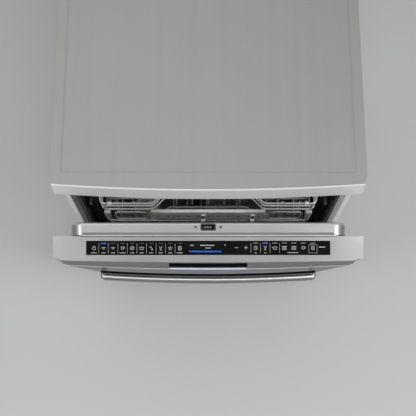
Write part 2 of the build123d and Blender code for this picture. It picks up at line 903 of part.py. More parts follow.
board_top = door_top - fascia_wall - board_stand
with BuildPart() as control_board:
    block(
        (
            -glass_width / 2,
            hinge_y - glass_from_axis - glass_depth / 2,
            board_top - board_thickness,
        ),
        (glass_width / 2, hinge_y - glass_from_axis + glass_depth / 2, board_top),
    )
    with Locations((0, hinge_y - glass_from_axis, board_top)):
        with GridLocations(glass_width - 4 * stand_radius, glass_depth - 3 * stand_radius, 2, 2):
            Cylinder(stand_radius, board_stand, align=(Align.CENTER, Align.CENTER, Align.MIN))
keep_on_door(control_board, "control_board")

# Handle: a bowed profile with a top plate, a front lip and closed ends
handle_outer = handle_half - handle_end
handle_y = hinge_y - handle_reach


def handle_band(depth):
    """A bowed band in plan, as wide as the handle, whose front is the handle's outer edge."""
    with BuildSketch() as band:
        with BuildLine():
            ThreePointArc(
                (-handle_half, handle_y + handle_bow), (0, handle_y), (handle_half, handle_y + handle_bow)
            )
            Polyline(
                (handle_half, handle_y + handle_bow), (handle_half, handle_y + handle_bow + depth)
            )
            ThreePointArc(
                (handle_half, handle_y + handle_bow + depth),
                (0, handle_y + depth),
                (-handle_half, handle_y + handle_bow + depth),
            )
            Polyline(
                (-handle_half, handle_y + handle_bow + depth), (-handle_half, handle_y + handle_bow)
            )
        make_face()
    return band.sketch


with BuildPart() as handle:
    with BuildSketch(Plane.XY.offset(handle_top - handle_plate)):
        add(handle_band(handle_depth))
    extrude(amount=handle_plate)
    with BuildSketch(Plane.XY.offset(handle_top - handle_height)):
        add(handle_band(handle_lip))
    extrude(amount=handle_height)
    for side in (-1, 1):
        end_low, end_high = sorted((side * handle_outer, side * handle_half))
        block(
            (end_low, handle_y + handle_bow, handle_top - handle_height),
            (end_high, hinge_y - face_end, handle_top),
        )
    with BuildSketch(Plane.XY.offset(handle_top - handle_height)):
        add(door_outline(*face))
    extrude(amount=2 * handle_height, mode=Mode.SUBTRACT)
    fillet(handle.edges().filter_by(Axis.Z).group_by(Axis.Y)[0], handle_lip - sheet)
keep_on_door(handle, "handle")

# Liner: a pressed steel pan inside the door, with a flat rim round it
pan_plane = front_plane(hinge_y + liner_depth)
liner_top = door_top - liner_top_drop
pan_mid = (liner_top + liner_foot) / 2
pan_height = liner_top - liner_foot
collar_top = panel_top - sheet
with BuildPart() as door_liner:
    with BuildSketch(pan_plane):
        with Locations((0, pan_mid)):
            RectangleRounded(2 * liner_half, pan_height, liner_corner)
    extrude(amount=liner_depth - liner_step)
    fillet(door_liner.edges().group_by(Axis.Y)[-1], liner_edge_round)
    offset(amount=-sheet, openings=door_liner.faces().sort_by(Axis.Y)[0])
    with BuildSketch(front_plane(hinge_y + liner_step)):
        with Locations((0, pan_mid)):
            RectangleRounded(2 * liner_half, pan_height, liner_corner)
        with Locations((0, (liner_foot + collar_top) / 2)):
            Rectangle(2 * (liner_half - sheet), collar_top - liner_foot - 2 * sheet, mode=Mode.SUBTRACT)
    extrude(amount=sheet)
    with BuildSketch(front_plane(hinge_y + liner_step)):
        with Locations((0, (liner_foot + collar_top) / 2)):
            Rectangle(2 * liner_half, collar_top - liner_foot)
            Rectangle(2 * (liner_half - sheet), collar_top - liner_foot - 2 * sheet, mode=Mode.SUBTRACT)
        with Locations((0, pan_mid)):
            RectangleRounded(2 * liner_half, pan_height, liner_corner, mode=Mode.INTERSECT)
    extrude(amount=liner_step - panel_rear - sheet)
    with BuildSketch(front_plane(hinge_y + panel_rear + sheet)):
        with Locations((0, (collar_top + liner_foot) / 2)):
            Rectangle(2 * liner_rim_half, collar_top - liner_foot)
            Rectangle(2 * (liner_half - sheet), collar_top - liner_foot - 2 * sheet, mode=Mode.SUBTRACT)
        with Locations((0, (tub_lip_foot + liner_foot) / 2)):
            Rectangle(2 * liner_half, liner_foot - tub_lip_foot)
    extrude(amount=sheet)
    block(
        (
            -dispenser_width / 2,
            hinge_y + liner_depth - 2 * sheet,
            dispenser_centre_z - dispenser_height / 2,
        ),
        (
            dispenser_width / 2,
            hinge_y + liner_depth + sheet,
            dispenser_centre_z + dispenser_height / 2,
        ),
        Mode.SUBTRACT,
    )
    block(
        (-slot_width / 2, hinge_y + latch_from_axis - slot_depth / 2, liner_top - 2 * sheet),
        (slot_width / 2, hinge_y + latch_from_axis + slot_depth / 2, liner_top + sheet),
        Mode.SUBTRACT,
    )
keep_on_door(door_liner, "door_liner")

trim_rear = hinge_y + liner_step - sheet + edge_trim_width
with BuildPart() as liner_trim:
    block(
        (liner_corner - liner_half, trim_rear - edge_trim_width, liner_top),
        (liner_half - liner_corner, trim_rear, liner_top + 2 * sheet),
    )
keep_on_door(liner_trim, "liner_edge_trim")

latch_y = hinge_y + latch_from_axis
latch_floor = liner_top - latch_depth + latch_wall
with BuildPart() as latch_plate:
    block(
        (-slot_width / 2, latch_y - slot_depth / 2, liner_top - latch_depth),
        (slot_width / 2, latch_y + slot_depth / 2, liner_top),
    )
    block(
        (latch_wall - slot_width / 2, latch_y - slot_depth / 2 + latch_wall, latch_floor),
        (slot_width / 2 - latch_wall, latch_y + slot_depth / 2 - latch_wall, liner_top + sheet),
        Mode.SUBTRACT,
    )
keep_on_door(latch_plate, "latch_plate")

insulation_rear = hinge_y + panel_rear
with BuildPart() as door_insulation:
    block(
        (-liner_half, hinge_y - side_front, door_foot + 4 * sheet + bracket_arm_height),
        (liner_half, insulation_rear, panel_top - 2 * sheet),
    )
keep_on_door(door_insulation, "door_insulation")

dispenser_face = hinge_y + liner_depth + dispenser_proud
cup_x = -dispenser_width / 2 + cup_width / 2 + lid_border * 2
lid_half_height = cup_height / 2 + lid_border
pocket_low = dispenser_centre_z + lid_half_height + filter_clearance + lid_border
pocket_top = dispenser_centre_z + dispenser_height / 2 - lid_border
with BuildPart() as dispenser:
    block(
        (
            -dispenser_width / 2,
            dispenser_face - dispenser_depth,
            dispenser_centre_z - dispenser_height / 2,
        ),
        (dispenser_width / 2, dispenser_face, dispenser_centre_z + dispenser_height / 2),
    )
    block(
        (cup_x - cup_width / 2, dispenser_face - cup_depth, dispenser_centre_z - cup_height / 2),
        (cup_x + cup_width / 2, dispenser_face + sheet, dispenser_centre_z + cup_height / 2),
        Mode.SUBTRACT,
    )
    block(
        (
            cup_x - cup_width / 2 - lid_border - filter_clearance,
            dispenser_face - lid_thickness,
            dispenser_centre_z - lid_half_height - filter_clearance,
        ),
        (
            dispenser_width / 2 - lid_border,
            dispenser_face + sheet,
            dispenser_centre_z + lid_half_height + filter_clearance,
        ),
        Mode.SUBTRACT,
    )
    block(
        (
            dispenser_width / 2 - cap_width - lid_border,
            dispenser_face - lid_thickness,
            pocket_low,
        ),
        (dispenser_width / 2 - lid_border, dispenser_face + sheet, pocket_top),
        Mode.SUBTRACT,
    )
keep_on_door(dispenser, "dispenser")

with BuildPart() as dispenser_lid:
    block(
        (
            cup_x - cup_width / 2 - lid_border,
            dispenser_face - lid_thickness + lid_play,
            dispenser_centre_z - lid_half_height,
        ),
        (
            cup_x + cup_width / 2 + lid_border,
            dispenser_face - lid_play,
            dispenser_centre_z + lid_half_height,
        ),
    )
keep_on_door(dispenser_lid, "dispenser_lid")

with BuildPart() as rinse_aid_cap:
    block(
        (
            dispenser_width / 2 - cap_width - lid_border + filter_clearance,
            dispenser_face - lid_thickness + lid_play,
            pocket_low + filter_clearance,
        ),
        (
            dispenser_width / 2 - lid_border - filter_clearance,
            dispenser_face,
            pocket_top - filter_clearance,
        ),
    )
keep_on_door(rinse_aid_cap, "rinse_aid_cap")

# Upper rack: flat welded wire mats for the floor and the walls, with a front that steps back
# in the middle behind a bright grip, and a punched strip under the grip
grip_y = hinge_y + liner_depth + home_gap - rack_lead * door_ajar
rack_y = grip_y + 2 * grip_radius
rack_rear = riser_front - upper_end_gap - rack_lead * door_ajar
rack_mid_y = (rack_y + rack_rear) / 2
wall_foot = upper_floor_z + grille
wall_top = upper_floor_z + upper_height
wall_mid = (wall_foot + wall_top) / 2
step_y = rack_y + recess_depth


def wire_mat(plane, width, height):
    """A flat welded wire mat: one holed face round the plane's origin, given its thickness."""
    columns = max(1, round((width - grille) / mesh_pitch))
    rows = max(1, round((height - grille) / mesh_pitch))
    step_across = (width - grille) / columns
    step_up = (height - grille) / rows
    opening = Face.make_rect(step_across - grille, step_up - grille).outer_wire()
    openings = [
        opening.moved(
            Location(((i - (columns - 1) / 2) * step_across, (j - (rows - 1) / 2) * step_up))
        )
        for i in range(columns)
        for j in range(rows)
    ]
    with BuildPart() as mat:
        with BuildSketch(plane):
            add(Face(Face.make_rect(width, height).outer_wire(), openings))
        extrude(amount=grille)
    return mat.part


def floor_mat(x, y, z, width, depth):
    """A level mat centred at (x, y), whose underside is at z."""
    return wire_mat(Plane(origin=(x, y, z)), width, depth)


def front_mat(x, y, z, width, height):
    """An upright mat that faces forward, centred at (x, z), whose front is at y."""
    return wire_mat(
        Plane(origin=(x, y + grille, z), x_dir=(1, 0, 0), z_dir=(0, -1, 0)), width, height
    )


def side_mat(side, x, y, z, depth, height):
    """An upright mat that faces sideways, centred at (y, z), whose outer face is at x."""
    near = x - grille if side > 0 else x
    return wire_mat(
        Plane(origin=(near, y, z), x_dir=(0, 1, 0), z_dir=(1, 0, 0)), depth, height
    )


def keep_mats(mats, name):
    """Write several mats that meet face to face as one node."""
    rack = Compound(label=name, children=mats)
    export_step(rack, f"parts/{name}.step")


mats = [
    floor_mat(0, (step_y + rack_rear) / 2, upper_floor_z, 2 * upper_half, rack_rear - step_y),
    front_mat(0, step_y, wall_mid, 2 * recess_half, wall_top - wall_foot),
    front_mat(0, rack_rear - grille, wall_mid, 2 * (upper_half - grille), wall_top - wall_foot),
]
corner_width = upper_half - rim_split
row_height = (wall_top - wall_foot - grille) / slanted_rows
for side in (-1, 1):
    corner_x = side * (rim_split + corner_width / 2)
    mats.append(floor_mat(corner_x, (rack_y + step_y) / 2, upper_floor_z, corner_width, recess_depth))
    mats.append(front_mat(corner_x, rack_y, wall_mid, corner_width, wall_top - wall_foot))
    mats.append(
        side_mat(
            side,
            side * upper_half,
            (rack_y + grille + rack_rear) / 2,
            wall_mid,
            rack_rear - rack_y - grille,
            wall_top - wall_foot,
        )
    )
    with BuildPart() as slanted_mat:
        with BuildSketch(Plane.XY.offset(wall_foot)):
            Polygon(
                (side * rim_split, rack_y),
                (side * recess_half, step_y),
                (side * recess_half, step_y + grille),
                (side * rim_split, rack_y + grille),
                align=None,
            )
        extrude(amount=wall_top - wall_foot)
        low_x, high_x = sorted((side * (recess_half + grille), side * (rim_split - grille)))
        for row in range(slanted_rows):
            row_foot = wall_foot + grille + row * row_height
            block(
                (low_x, rack_y - grille, row_foot),
                (high_x, step_y + 2 * grille, row_foot + row_height - grille),
                Mode.SUBTRACT,
            )
    mats.append(slanted_mat.part)
keep_mats(mats, "upper_rack")

with BuildPart() as upper_rack_grip:
    block((-strip_half, rack_y - sheet, strip_foot), (strip_half, rack_y, strip_foot + strip_height))
    with BuildSketch(front_plane(rack_y)):
        with Locations((0, strip_foot + strip_height / 2)):
            with GridLocations(strip_hole_pitch, 1, strip_holes, 1):
                Circle(strip_hole_radius)
    extrude(amount=sheet, mode=Mode.SUBTRACT)
    with BuildSketch(side_plane(-grip_half)):
        with Locations((grip_y + grip_radius, grip_z)):
            Circle(grip_radius)
    extrude(amount=2 * grip_half)
    for side in (-1, 1):
        post_low, post_high = sorted((side * grip_half, side * (grip_half - grip_radius)))
        block((post_low, grip_y + grip_radius, strip_foot + strip_height), (post_high, rack_y, grip_z))
keep(upper_rack_grip, "upper_rack_grip")

runner_far = tub_half - rail_width - runner_clearance
runner_near = runner_far - runner_width
with BuildPart() as upper_rack_runners:
    for side in (-1, 1):
        low_x, high_x = sorted((side * runner_near, side * runner_far))
        block(
            (low_x, rack_y + runner_height, runner_z - runner_height / 2),
            (high_x, rack_rear, runner_z + runner_height / 2),
        )
        low_x, high_x = sorted((side * (upper_half + runner_clearance), side * runner_near))
        block(
            (low_x, rack_mid_y - lift_length / 2, runner_z - lift_height / 2),
            (high_x, rack_mid_y + lift_length / 2, runner_z + lift_height / 2),
        )
keep(upper_rack_runners, "upper_rack_runners")

lever_rear = rack_mid_y - lift_length / 2
lever_x = (upper_half + runner_near) / 2
lever_top = runner_z - runner_height / 2 - lever_drop
for side, name in ((-1, "left_lift_lever"), (1, "right_lift_lever")):
    with BuildPart() as lift_lever:
        block(
            (
                side * lever_x - lever_thickness / 2,
                lever_rear - lever_length,
                lever_top - lever_height,
            ),
            (
                side * lever_x + lever_thickness / 2,
                lever_rear - hub_clearance,
                lever_top,
            ),
        )
    keep(lift_lever, name)

with BuildPart() as upper_rails:
    for side in (-1, 1):
        low_x, high_x = sorted((side * (tub_half - rail_width), side * tub_half))
        block(
            (low_x, front_y + rail_front, runner_z - rail_height / 2),
            (high_x, tub_rear - rail_end_gap, runner_z + rail_height / 2),
        )
keep(upper_rails, "upper_rails")

shelf_x = upper_half - grille - hub_clearance
for side, name in ((-1, "left_cup_shelf"), (1, "right_cup_shelf")):
    with BuildPart() as cup_shelf:
        add(
            side_mat(
                side,
                side * shelf_x,
                rack_mid_y,
                shelf_z + shelf_width / 2,
                shelf_length,
                shelf_width,
            )
        )
    keep(cup_shelf, name)

# Upper spray arm under the rack, with its feed tube back to the riser on the rear wall
feed_hub_foot = upper_floor_z - feed_hub_height
upper_arm_z = feed_hub_foot - hub_clearance - hub_rise - arm_blade_thickness
feed_rear = riser_front - hub_clearance - rack_lead * door_ajar
with BuildPart() as feed_tube:
    block(
        (-hub_radius / 2, rack_mid_y, upper_floor_z - feed_height),
        (hub_radius / 2, feed_rear, upper_floor_z),
    )
    with Locations((0, rack_mid_y, upper_floor_z)):
        Cylinder(hub_radius, feed_hub_height, align=(Align.CENTER, Align.CENTER, Align.MAX))
keep(feed_tube, "spray_feed_tube")


def spray_arm(centre_y, foot_z, radius):
    """A spray arm: a long blade with round ends, a hub, and slanted rows of jet holes."""
    with BuildPart() as arm:
        with BuildSketch(Plane.XY.offset(foot_z)):
            with Locations((0, centre_y)):
                SlotOverall(2 * radius, arm_blade)
                with GridLocations(
                    2 * radius / (jet_columns + 1), arm_blade / (jet_rows + 1), jet_columns, jet_rows
                ):
                    Circle(jet_radius, mode=Mode.SUBTRACT)
        extrude(amount=arm_blade_thickness)
        with Locations((0, centre_y, foot_z)):
            Cylinder(
                hub_radius,
                arm_blade_thickness + hub_rise,
                align=(Align.CENTER, Align.CENTER, Align.MIN),
            )
    return arm


keep(spray_arm(rack_mid_y, upper_arm_z, upper_arm_radius), "upper_spray_arm")
keep(spray_arm(tub_mid_y, lower_arm_z, lower_arm_radius), "lower_spray_arm")

with BuildPart() as riser_pipe:
    block(
        (-duct_width / 2, riser_front, tub_floor_z), (duct_width / 2, tub_rear, tub_top)
    )
    block(
        (-duct_width / 2, tub_mid_y, tub_top - duct_depth), (duct_width / 2, tub_rear, tub_top)
    )
keep(riser_pipe, "riser_pipe")

with BuildPart() as ceiling_sprayer:
    with Locations((0, tub_mid_y, tub_top - duct_depth)):
        Cylinder(
            duct_width / 2 + duct_depth,
            duct_depth,
            align=(Align.CENTER, Align.CENTER, Align.MAX),
        )
keep(ceiling_sprayer, "ceiling_sprayer")

# Lower rack on wheels, with two rows of folding tines and a cutlery basket
lower_y = hinge_y + liner_depth + home_gap - lower_lead * door_ajar
lower_rear = riser_front - lower_end_gap - lower_lead * door_ajar
lower_depth = lower_rear - lower_y
lower_wall_foot = lower_floor_z + grille
lower_wall_top = lower_floor_z + lower_height
lower_mid_y = (lower_y + lower_rear) / 2
mats = [
    floor_mat(0, lower_mid_y, lower_floor_z, 2 * lower_half, lower_depth),
    front_mat(0, lower_y, lower_wall_foot + lower_front_height / 2, 2 * lower_half, lower_front_height),
    front_mat(
        0,
        lower_rear - grille,
        (lower_wall_foot + lower_wall_top) / 2,
        2 * lower_half,
        lower_wall_top - lower_wall_foot,
    ),
]
for side in (-1, 1):
    mats.append(
        side_mat(
            side,
            side * lower_half,
            lower_mid_y,
            (lower_wall_foot + lower_wall_top) / 2,
            lower_depth - 2 * grille,
            lower_wall_top - lower_wall_foot,
        )
    )
    for axle_y in (lower_y + wheel_inset, lower_rear - wheel_inset):
        axle_end = side * (wheel_centre + wheel_width / 2)
        axle_low, axle_high = sorted((side * (lower_half - 2 * grille), axle_end))
        with BuildPart() as axle:
            with BuildSketch(side_plane(axle_low)):
                with Locations((axle_y, wheel_z)):
                    Circle(axle_radius)
            extrude(amount=axle_high - axle_low)
            block(
                (side * (lower_half - grille) - grille, axle_y - 2 * axle_radius, wheel_z),
                (side * (lower_half - grille) + grille, axle_y + 2 * axle_radius, lower_floor_z),
            )
        mats.append(axle.part)
keep_mats(mats, "lower_rack")

for axle_y, name in (
    (lower_y + wheel_inset, "front_rack_wheels"),
    (lower_rear - wheel_inset, "rear_rack_wheels"),
):
    with BuildPart() as rack_wheels:
        for side in (-1, 1):
            with BuildSketch(side_plane(side * wheel_centre - wheel_width / 2)):
                with Locations((axle_y, wheel_z)):
                    Circle(wheel_radius)
                    Circle(axle_radius + pin_clearance, mode=Mode.SUBTRACT)
            extrude(amount=wheel_width)
    keep(rack_wheels, name)

tine_z = lower_wall_foot + fold_clearance
tine_rows = (lower_y + lower_depth * tine_first, lower_y + lower_depth * tine_second)
for row_y, name in zip(tine_rows, ("front_tine_row", "rear_tine_row")):
    with BuildPart() as tines:
        block((-tine_row, row_y, tine_z), (tine_row, row_y + grille, tine_z + grille))
        count = round(2 * tine_row / tine_pitch)
        with Locations((0, row_y + grille / 2, tine_z + grille)):
            with GridLocations(tine_pitch, 1, count, 1):
                Box(grille, grille, tine_height, align=(Align.CENTER, Align.CENTER, Align.MIN))
    keep(tines, name)

basket_x = lower_half - 4 * grille - basket_length
basket_y = lower_y + 2 * grille
basket_z = lower_wall_foot + hub_clearance
cell = (basket_length - (basket_cells + 1) * basket_wall) / basket_cells
with BuildPart() as cutlery_basket:
    block(
        (basket_x, basket_y, basket_z),
        (basket_x + basket_length, basket_y + basket_width, basket_z + basket_height),
    )
    for index in range(basket_cells):
        cell_x = basket_x + basket_wall + index * (cell + basket_wall)
        block(
            (cell_x, basket_y + basket_wall, basket_z + basket_wall),
            (cell_x + cell, basket_y + basket_width - basket_wall, basket_z + basket_height + 1),
            Mode.SUBTRACT,
        )
keep(cutlery_basket, "cutlery_basket")

# Latch hook above the tub roof, whose tip drops through the roof into the door's slot
with BuildPart() as latch_hook:
    block(
        (-hook_width / 2, hook_pivot_y - hook_length, hook_foot),
        (hook_width / 2, hook_pivot_y + hook_thickness / 2, hook_foot + hook_thickness),
    )
    block(
        (-hook_width / 2, hook_pivot_y - hook_length - hook_tip / 2, tub_top - hook_tip_drop),
        (hook_width / 2, hook_pivot_y - hook_length + hook_tip / 2, hook_foot + hook_thickness),
    )
    with BuildSketch(side_plane(-hook_width)):
        with Locations((hook_pivot_y, hook_pivot_z)):
            Circle(hook_pin_radius + pin_clearance)
    extrude(amount=2 * hook_width, mode=Mode.SUBTRACT)
keep(latch_hook, "latch_hook")

# Screws, each with a shank and a round head
screw_low = liner_foot + door_screw_rise
screw_high = panel_top - door_screw_drop
screw_pitch = (screw_high - screw_low) / (door_screw_rows - 1)
with BuildPart() as door_screws:
    for side in (-1, 1):
        with Locations((side * latch_screw_x, latch_y, liner_top)):
            Cylinder(screw_radius, screw_head, align=(Align.CENTER, Align.CENTER, Align.MIN))
        with BuildSketch(front_plane(hinge_y + panel_rear + sheet + screw_head)):
            with Locations((side * (liner_half + liner_rim_half) / 2, (screw_low + screw_high) / 2)):
                with GridLocations(1, screw_pitch, 1, door_screw_rows):
                    Circle(screw_radius)
        extrude(amount=screw_head)
keep_on_door(door_screws, "door_screws")

plinth_screw_x = inner_half - plinth_inset - plinth_screw_inset
with BuildPart() as cabinet_screws:
    for side in (-1, 1):
        with BuildSketch(front_plane(base_front - plinth_thickness)):
            with Locations((side * plinth_screw_x, plinth_top - screw_inset)):
                Circle(screw_radius)
        extrude(amount=screw_head)
        with BuildSketch(front_plane(cabinet_rear + screw_head)):
            for screw_z in (base_rim_z + screw_inset, worktop_under - screw_inset):
                with Locations((side * (cabinet_half - rear_return / 2), screw_z)):
                    Circle(screw_radius)
        extrude(amount=screw_head)
keep(cabinet_screws, "cabinet_screws")
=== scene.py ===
# %% Load the frame
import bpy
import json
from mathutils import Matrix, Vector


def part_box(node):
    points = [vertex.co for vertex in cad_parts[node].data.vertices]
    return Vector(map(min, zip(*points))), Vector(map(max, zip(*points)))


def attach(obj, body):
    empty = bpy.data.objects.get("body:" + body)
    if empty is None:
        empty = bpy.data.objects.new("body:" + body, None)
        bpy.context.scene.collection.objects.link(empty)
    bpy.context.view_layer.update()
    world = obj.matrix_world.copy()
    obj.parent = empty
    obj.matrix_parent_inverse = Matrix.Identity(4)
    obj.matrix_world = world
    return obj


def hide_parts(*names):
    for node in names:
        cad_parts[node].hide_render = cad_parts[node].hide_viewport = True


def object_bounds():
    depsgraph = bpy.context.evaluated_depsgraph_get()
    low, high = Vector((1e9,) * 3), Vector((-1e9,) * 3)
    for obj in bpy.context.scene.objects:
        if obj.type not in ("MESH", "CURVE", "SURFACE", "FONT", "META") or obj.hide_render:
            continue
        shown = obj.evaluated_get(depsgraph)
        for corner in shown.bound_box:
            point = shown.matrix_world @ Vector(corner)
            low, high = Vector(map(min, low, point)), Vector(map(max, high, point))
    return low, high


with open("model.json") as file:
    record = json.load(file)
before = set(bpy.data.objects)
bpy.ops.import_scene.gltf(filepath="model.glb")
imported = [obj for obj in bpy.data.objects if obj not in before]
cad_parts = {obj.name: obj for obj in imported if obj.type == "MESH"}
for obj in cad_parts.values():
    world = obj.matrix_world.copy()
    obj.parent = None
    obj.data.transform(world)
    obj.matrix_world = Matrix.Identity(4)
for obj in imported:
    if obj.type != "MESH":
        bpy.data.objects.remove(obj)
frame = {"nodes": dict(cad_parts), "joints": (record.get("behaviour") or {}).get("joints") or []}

# %% [markdown]
# This lesson dresses a freestanding dishwasher that stands with its door ajar. The frame holds
# every solid piece of the machine at its real size, in metres, with X to the right, Y to the back
# and Z up. The looks come on top of it: softened metal edges, round rack wires, a touch strip with
# its symbols, and a finish for every surface. First come the few values that every later cell uses.

# %% Modules and the box of the bare frame
import json
from math import atan2, cos, degrees, pi, radians, sin, tan

import bpy
from mathutils import Matrix, Vector

MM = 0.001
frame_box = [list(corner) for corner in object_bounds()]
joints = {joint["name"]: joint for joint in frame["joints"]}
print("frame box", frame_box)

# %% [markdown]
# The door is drawn ten degrees open, so nothing on it is square to the world. It is far easier to
# model a piece on the shut door, where its faces are level and upright, and to swing it open
# afterwards about the hinge line. The hinge's place and the angle come from the frame: the joint's
# lower limit is the shut door.

# %% The hinge line and the door's angle
door_joint = joints["door_hinge"]
hinge = Vector(door_joint["pos_m"])
ajar = -radians(door_joint["range_deg"][0])
door_turn = Matrix.Rotation(ajar, 4, "X")
swing_open = Matrix.Translation(hinge) @ door_turn @ Matrix.Translation(-hinge)
swing_shut = swing_open.inverted()


def corners(points):
    """The lowest and highest corners of a set of points."""
    low = Vector([min(point[axis] for point in points) for axis in range(3)])
    high = Vector([max(point[axis] for point in points) for axis in range(3)])
    return low, high


def node_box(node):
    """The lowest and highest corners of a node, as it stands."""
    low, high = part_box(node)
    return Vector(low), Vector(high)


def shut_box(node):
    """The lowest and highest corners of a node of the door, as if the door were shut."""
    return corners([swing_shut @ vertex.co for vertex in frame["nodes"][node].data.vertices])


print("hinge", tuple(hinge), "ajar by", round(degrees(ajar), 2))

# %% [markdown]
# Blender's operators work on whatever is selected, so each tool starts by deselecting everything. A
# piece starts as a primitive at its size and place. Its faces and edges are then picked in code, by
# where they lie, and shaped in edit mode.

# %% Tools for starting a piece


def deselect():
    """Nothing selected, in object mode."""
    if bpy.context.object and bpy.context.object.mode != "OBJECT":
        bpy.ops.object.mode_set(mode="OBJECT")
    bpy.ops.object.select_all(action="DESELECT")


def start(name):
    """Name the primitive that was just added and put its place into its mesh."""
    piece = bpy.context.object
    piece.name = name
    piece.data.name = name
    bpy.ops.object.transform_apply(location=True, rotation=True, scale=True)
    return piece


def start_box(name, low, high):
    """A box from its lowest to its highest corner."""
    deselect()
    low, high = Vector(low), Vector(high)
    bpy.ops.mesh.primitive_cube_add(size=1, location=(low + high) / 2, scale=high - low)
    return start(name)


def start_rod(name, centre, radius, length, axis, sides=24):
    """A rod round its centre, along one axis."""
    deselect()
    turn = {"X": (0, pi / 2, 0), "Y": (pi / 2, 0, 0), "Z": (0, 0, 0)}[axis]
    bpy.ops.mesh.primitive_cylinder_add(
        vertices=sides, radius=radius, depth=length, location=centre, rotation=turn
    )
    return start(name)


print("a piece starts from", start_box.__name__, "or", start_rod.__name__)

# %% [markdown]
# A face is picked by its centre and by the way it looks, an edge by its two ends. The picking tools
# go into edit mode with only those selected, so that the next operator acts on them alone.

# %% Tools for picking parts of a piece
FACING = 0.9                # least part of a face's normal that counts as looking one way
LEVEL = 0.98                # the same for a face that has to be quite level
NEAR = 0.1 * MM             # how close to a plane a point counts as on it


def use(piece):
    """Make one piece the selected and active one."""
    deselect()
    piece.select_set(True)
    bpy.context.view_layer.objects.active = piece


def edit(piece, kind="VERT"):
    """Go into edit mode with nothing selected."""
    use(piece)
    bpy.ops.object.mode_set(mode="EDIT")
    bpy.ops.mesh.select_mode(type=kind)
    bpy.ops.mesh.select_all(action="DESELECT")


def edit_all(piece):
    """Go into edit mode with everything selected."""
    edit(piece)
    bpy.ops.mesh.select_all(action="SELECT")


def pick_faces(piece, test):
    """Go into edit mode with only the faces selected that pass a test of centre and normal."""
    edit(piece, "FACE")
    bpy.ops.object.mode_set(mode="OBJECT")
    for face in piece.data.polygons:
        face.select = test(face.center, face.normal)
    bpy.ops.object.mode_set(mode="EDIT")


def pick_edges(piece, test):
    """Go into edit mode with only the edges selected that pass a test of their two ends."""
    edit(piece, "EDGE")
    bpy.ops.object.mode_set(mode="OBJECT")
    points = piece.data.vertices
    for line in piece.data.edges:
        line.select = test(points[line.vertices[0]].co, points[line.vertices[1]].co)
    bpy.ops.object.mode_set(mode="EDIT")


def done():
    """Back to object mode."""
    bpy.ops.object.mode_set(mode="OBJECT")


print("a point is on a plane within", NEAR, "m")

# %% [markdown]
# The finishing tools round, mirror, repeat, cut and join. Modifiers do most of that, as they would
# by hand, and each is applied at once, so that the next step works on plain faces.

# %% Tools for finishing a piece
SMOOTH_BELOW = 50           # degrees: sharper edges stay sharp when a piece is shaded
FLAT_WEIGHT = 80            # how much the large faces pull the shading of the bevels


def apply_modifier(piece, kind, **settings):
    """Add a modifier, set it and apply it."""
    use(piece)
    modifier = piece.modifiers.new(kind.lower(), kind)
    for key, value in settings.items():
        setattr(modifier, key, value)
    bpy.ops.object.modifier_apply(modifier=modifier.name)


def repeat(piece, count, step):
    """Repeat a piece along a straight line, in one mesh."""
    offset = {"use_relative_offset": False, "use_constant_offset": True}
    apply_modifier(piece, "ARRAY", count=count, constant_offset_displace=step, **offset)
    return piece


def face_outwards(piece):
    """Turn all faces of a closed piece outwards."""
    edit_all(piece)
    bpy.ops.mesh.normals_make_consistent(inside=False)
    done()
    return piece


def both_sides(piece):
    """Mirror a piece to the machine's other side, in one mesh."""
    apply_modifier(piece, "MIRROR", use_axis=(True, False, False), use_mirror_merge=False)
    return face_outwards(piece)


def smooth(piece, angle=40):
    """Shade a piece smooth, apart from its sharp edges."""
    use(piece)
    bpy.ops.object.shade_smooth_by_angle(angle=radians(angle))
    return piece


def round_edges(piece, width, segments=2, angle=30):
    """Bevel the sharp edges, and shade the bevels smooth while the large faces stay flat."""
    limit = {"limit_method": "ANGLE", "angle_limit": radians(angle), "use_clamp_overlap": True}
    apply_modifier(piece, "BEVEL", width=width, segments=segments, **limit)
    smooth(piece, SMOOTH_BELOW)
    apply_modifier(piece, "WEIGHTED_NORMAL", weight=FLAT_WEIGHT, keep_sharp=True)
    return piece


def bevel_edges(piece, test, width, segments):
    """Round only the edges that pass a test."""
    pick_edges(piece, test)
    bpy.ops.mesh.bevel(offset=width, segments=segments)
    done()


def squeeze(value, centre):
    """Scale what is picked about a place, and leave edit mode."""
    bpy.ops.transform.resize(value=value, center_override=centre)
    done()


def cut_away(piece, cutter):
    """Take the cutter's shape out of a piece and throw the cutter away."""
    apply_modifier(piece, "BOOLEAN", operation="DIFFERENCE", object=cutter, solver="EXACT")
    bpy.data.objects.remove(cutter)


def cut_box(piece, low, high):
    """Take a box out of a piece."""
    cut_away(piece, start_box("cutter", low, high))


def cross_cut(piece, place, normal):
    """Cut new edges where a plane passes through a piece."""
    edit_all(piece)
    bpy.ops.mesh.bisect(plane_co=place, plane_no=normal)
    done()


def join(name, pieces):
    """Join several pieces into one mesh."""
    deselect()
    for piece in pieces:
        piece.select_set(True)
    bpy.context.view_layer.objects.active = pieces[0]
    bpy.ops.object.join()
    joined = bpy.context.object
    joined.name = name
    joined.data.name = name
    return joined


print("edges are shaded smooth below", SMOOTH_BELOW, "degrees")

# %% [markdown]
# These tools are for the door, whose front is bowed. A piece is made straight along X, cut across
# into short lengths, bowed as a whole, and swung open with the door.

# %% Tools for the bowed door
LONG_EDGE = 0.6             # least share of a piece's length that counts as a long edge


def bow_radius(half, bow):
    """The radius of an arc of this half length whose ends lie this far behind its middle."""
    return (half**2 + bow**2) / (2 * bow)


def divide_along_x(piece, cuts):
    """Cut the long edges of a box, so that it can be bowed."""
    pick_edges(piece, lambda a, b: abs(a.x - b.x) > LONG_EDGE * piece.dimensions.x)
    bpy.ops.mesh.subdivide(number_cuts=cuts)
    done()
    return piece


def bend_back(piece, radius):
    """Bow a piece that lies along X: its middle stays and its ends go back."""
    turn = piece.dimensions.x / radius
    apply_modifier(piece, "SIMPLE_DEFORM", deform_method="BEND", deform_axis="Z", angle=turn)
    return piece


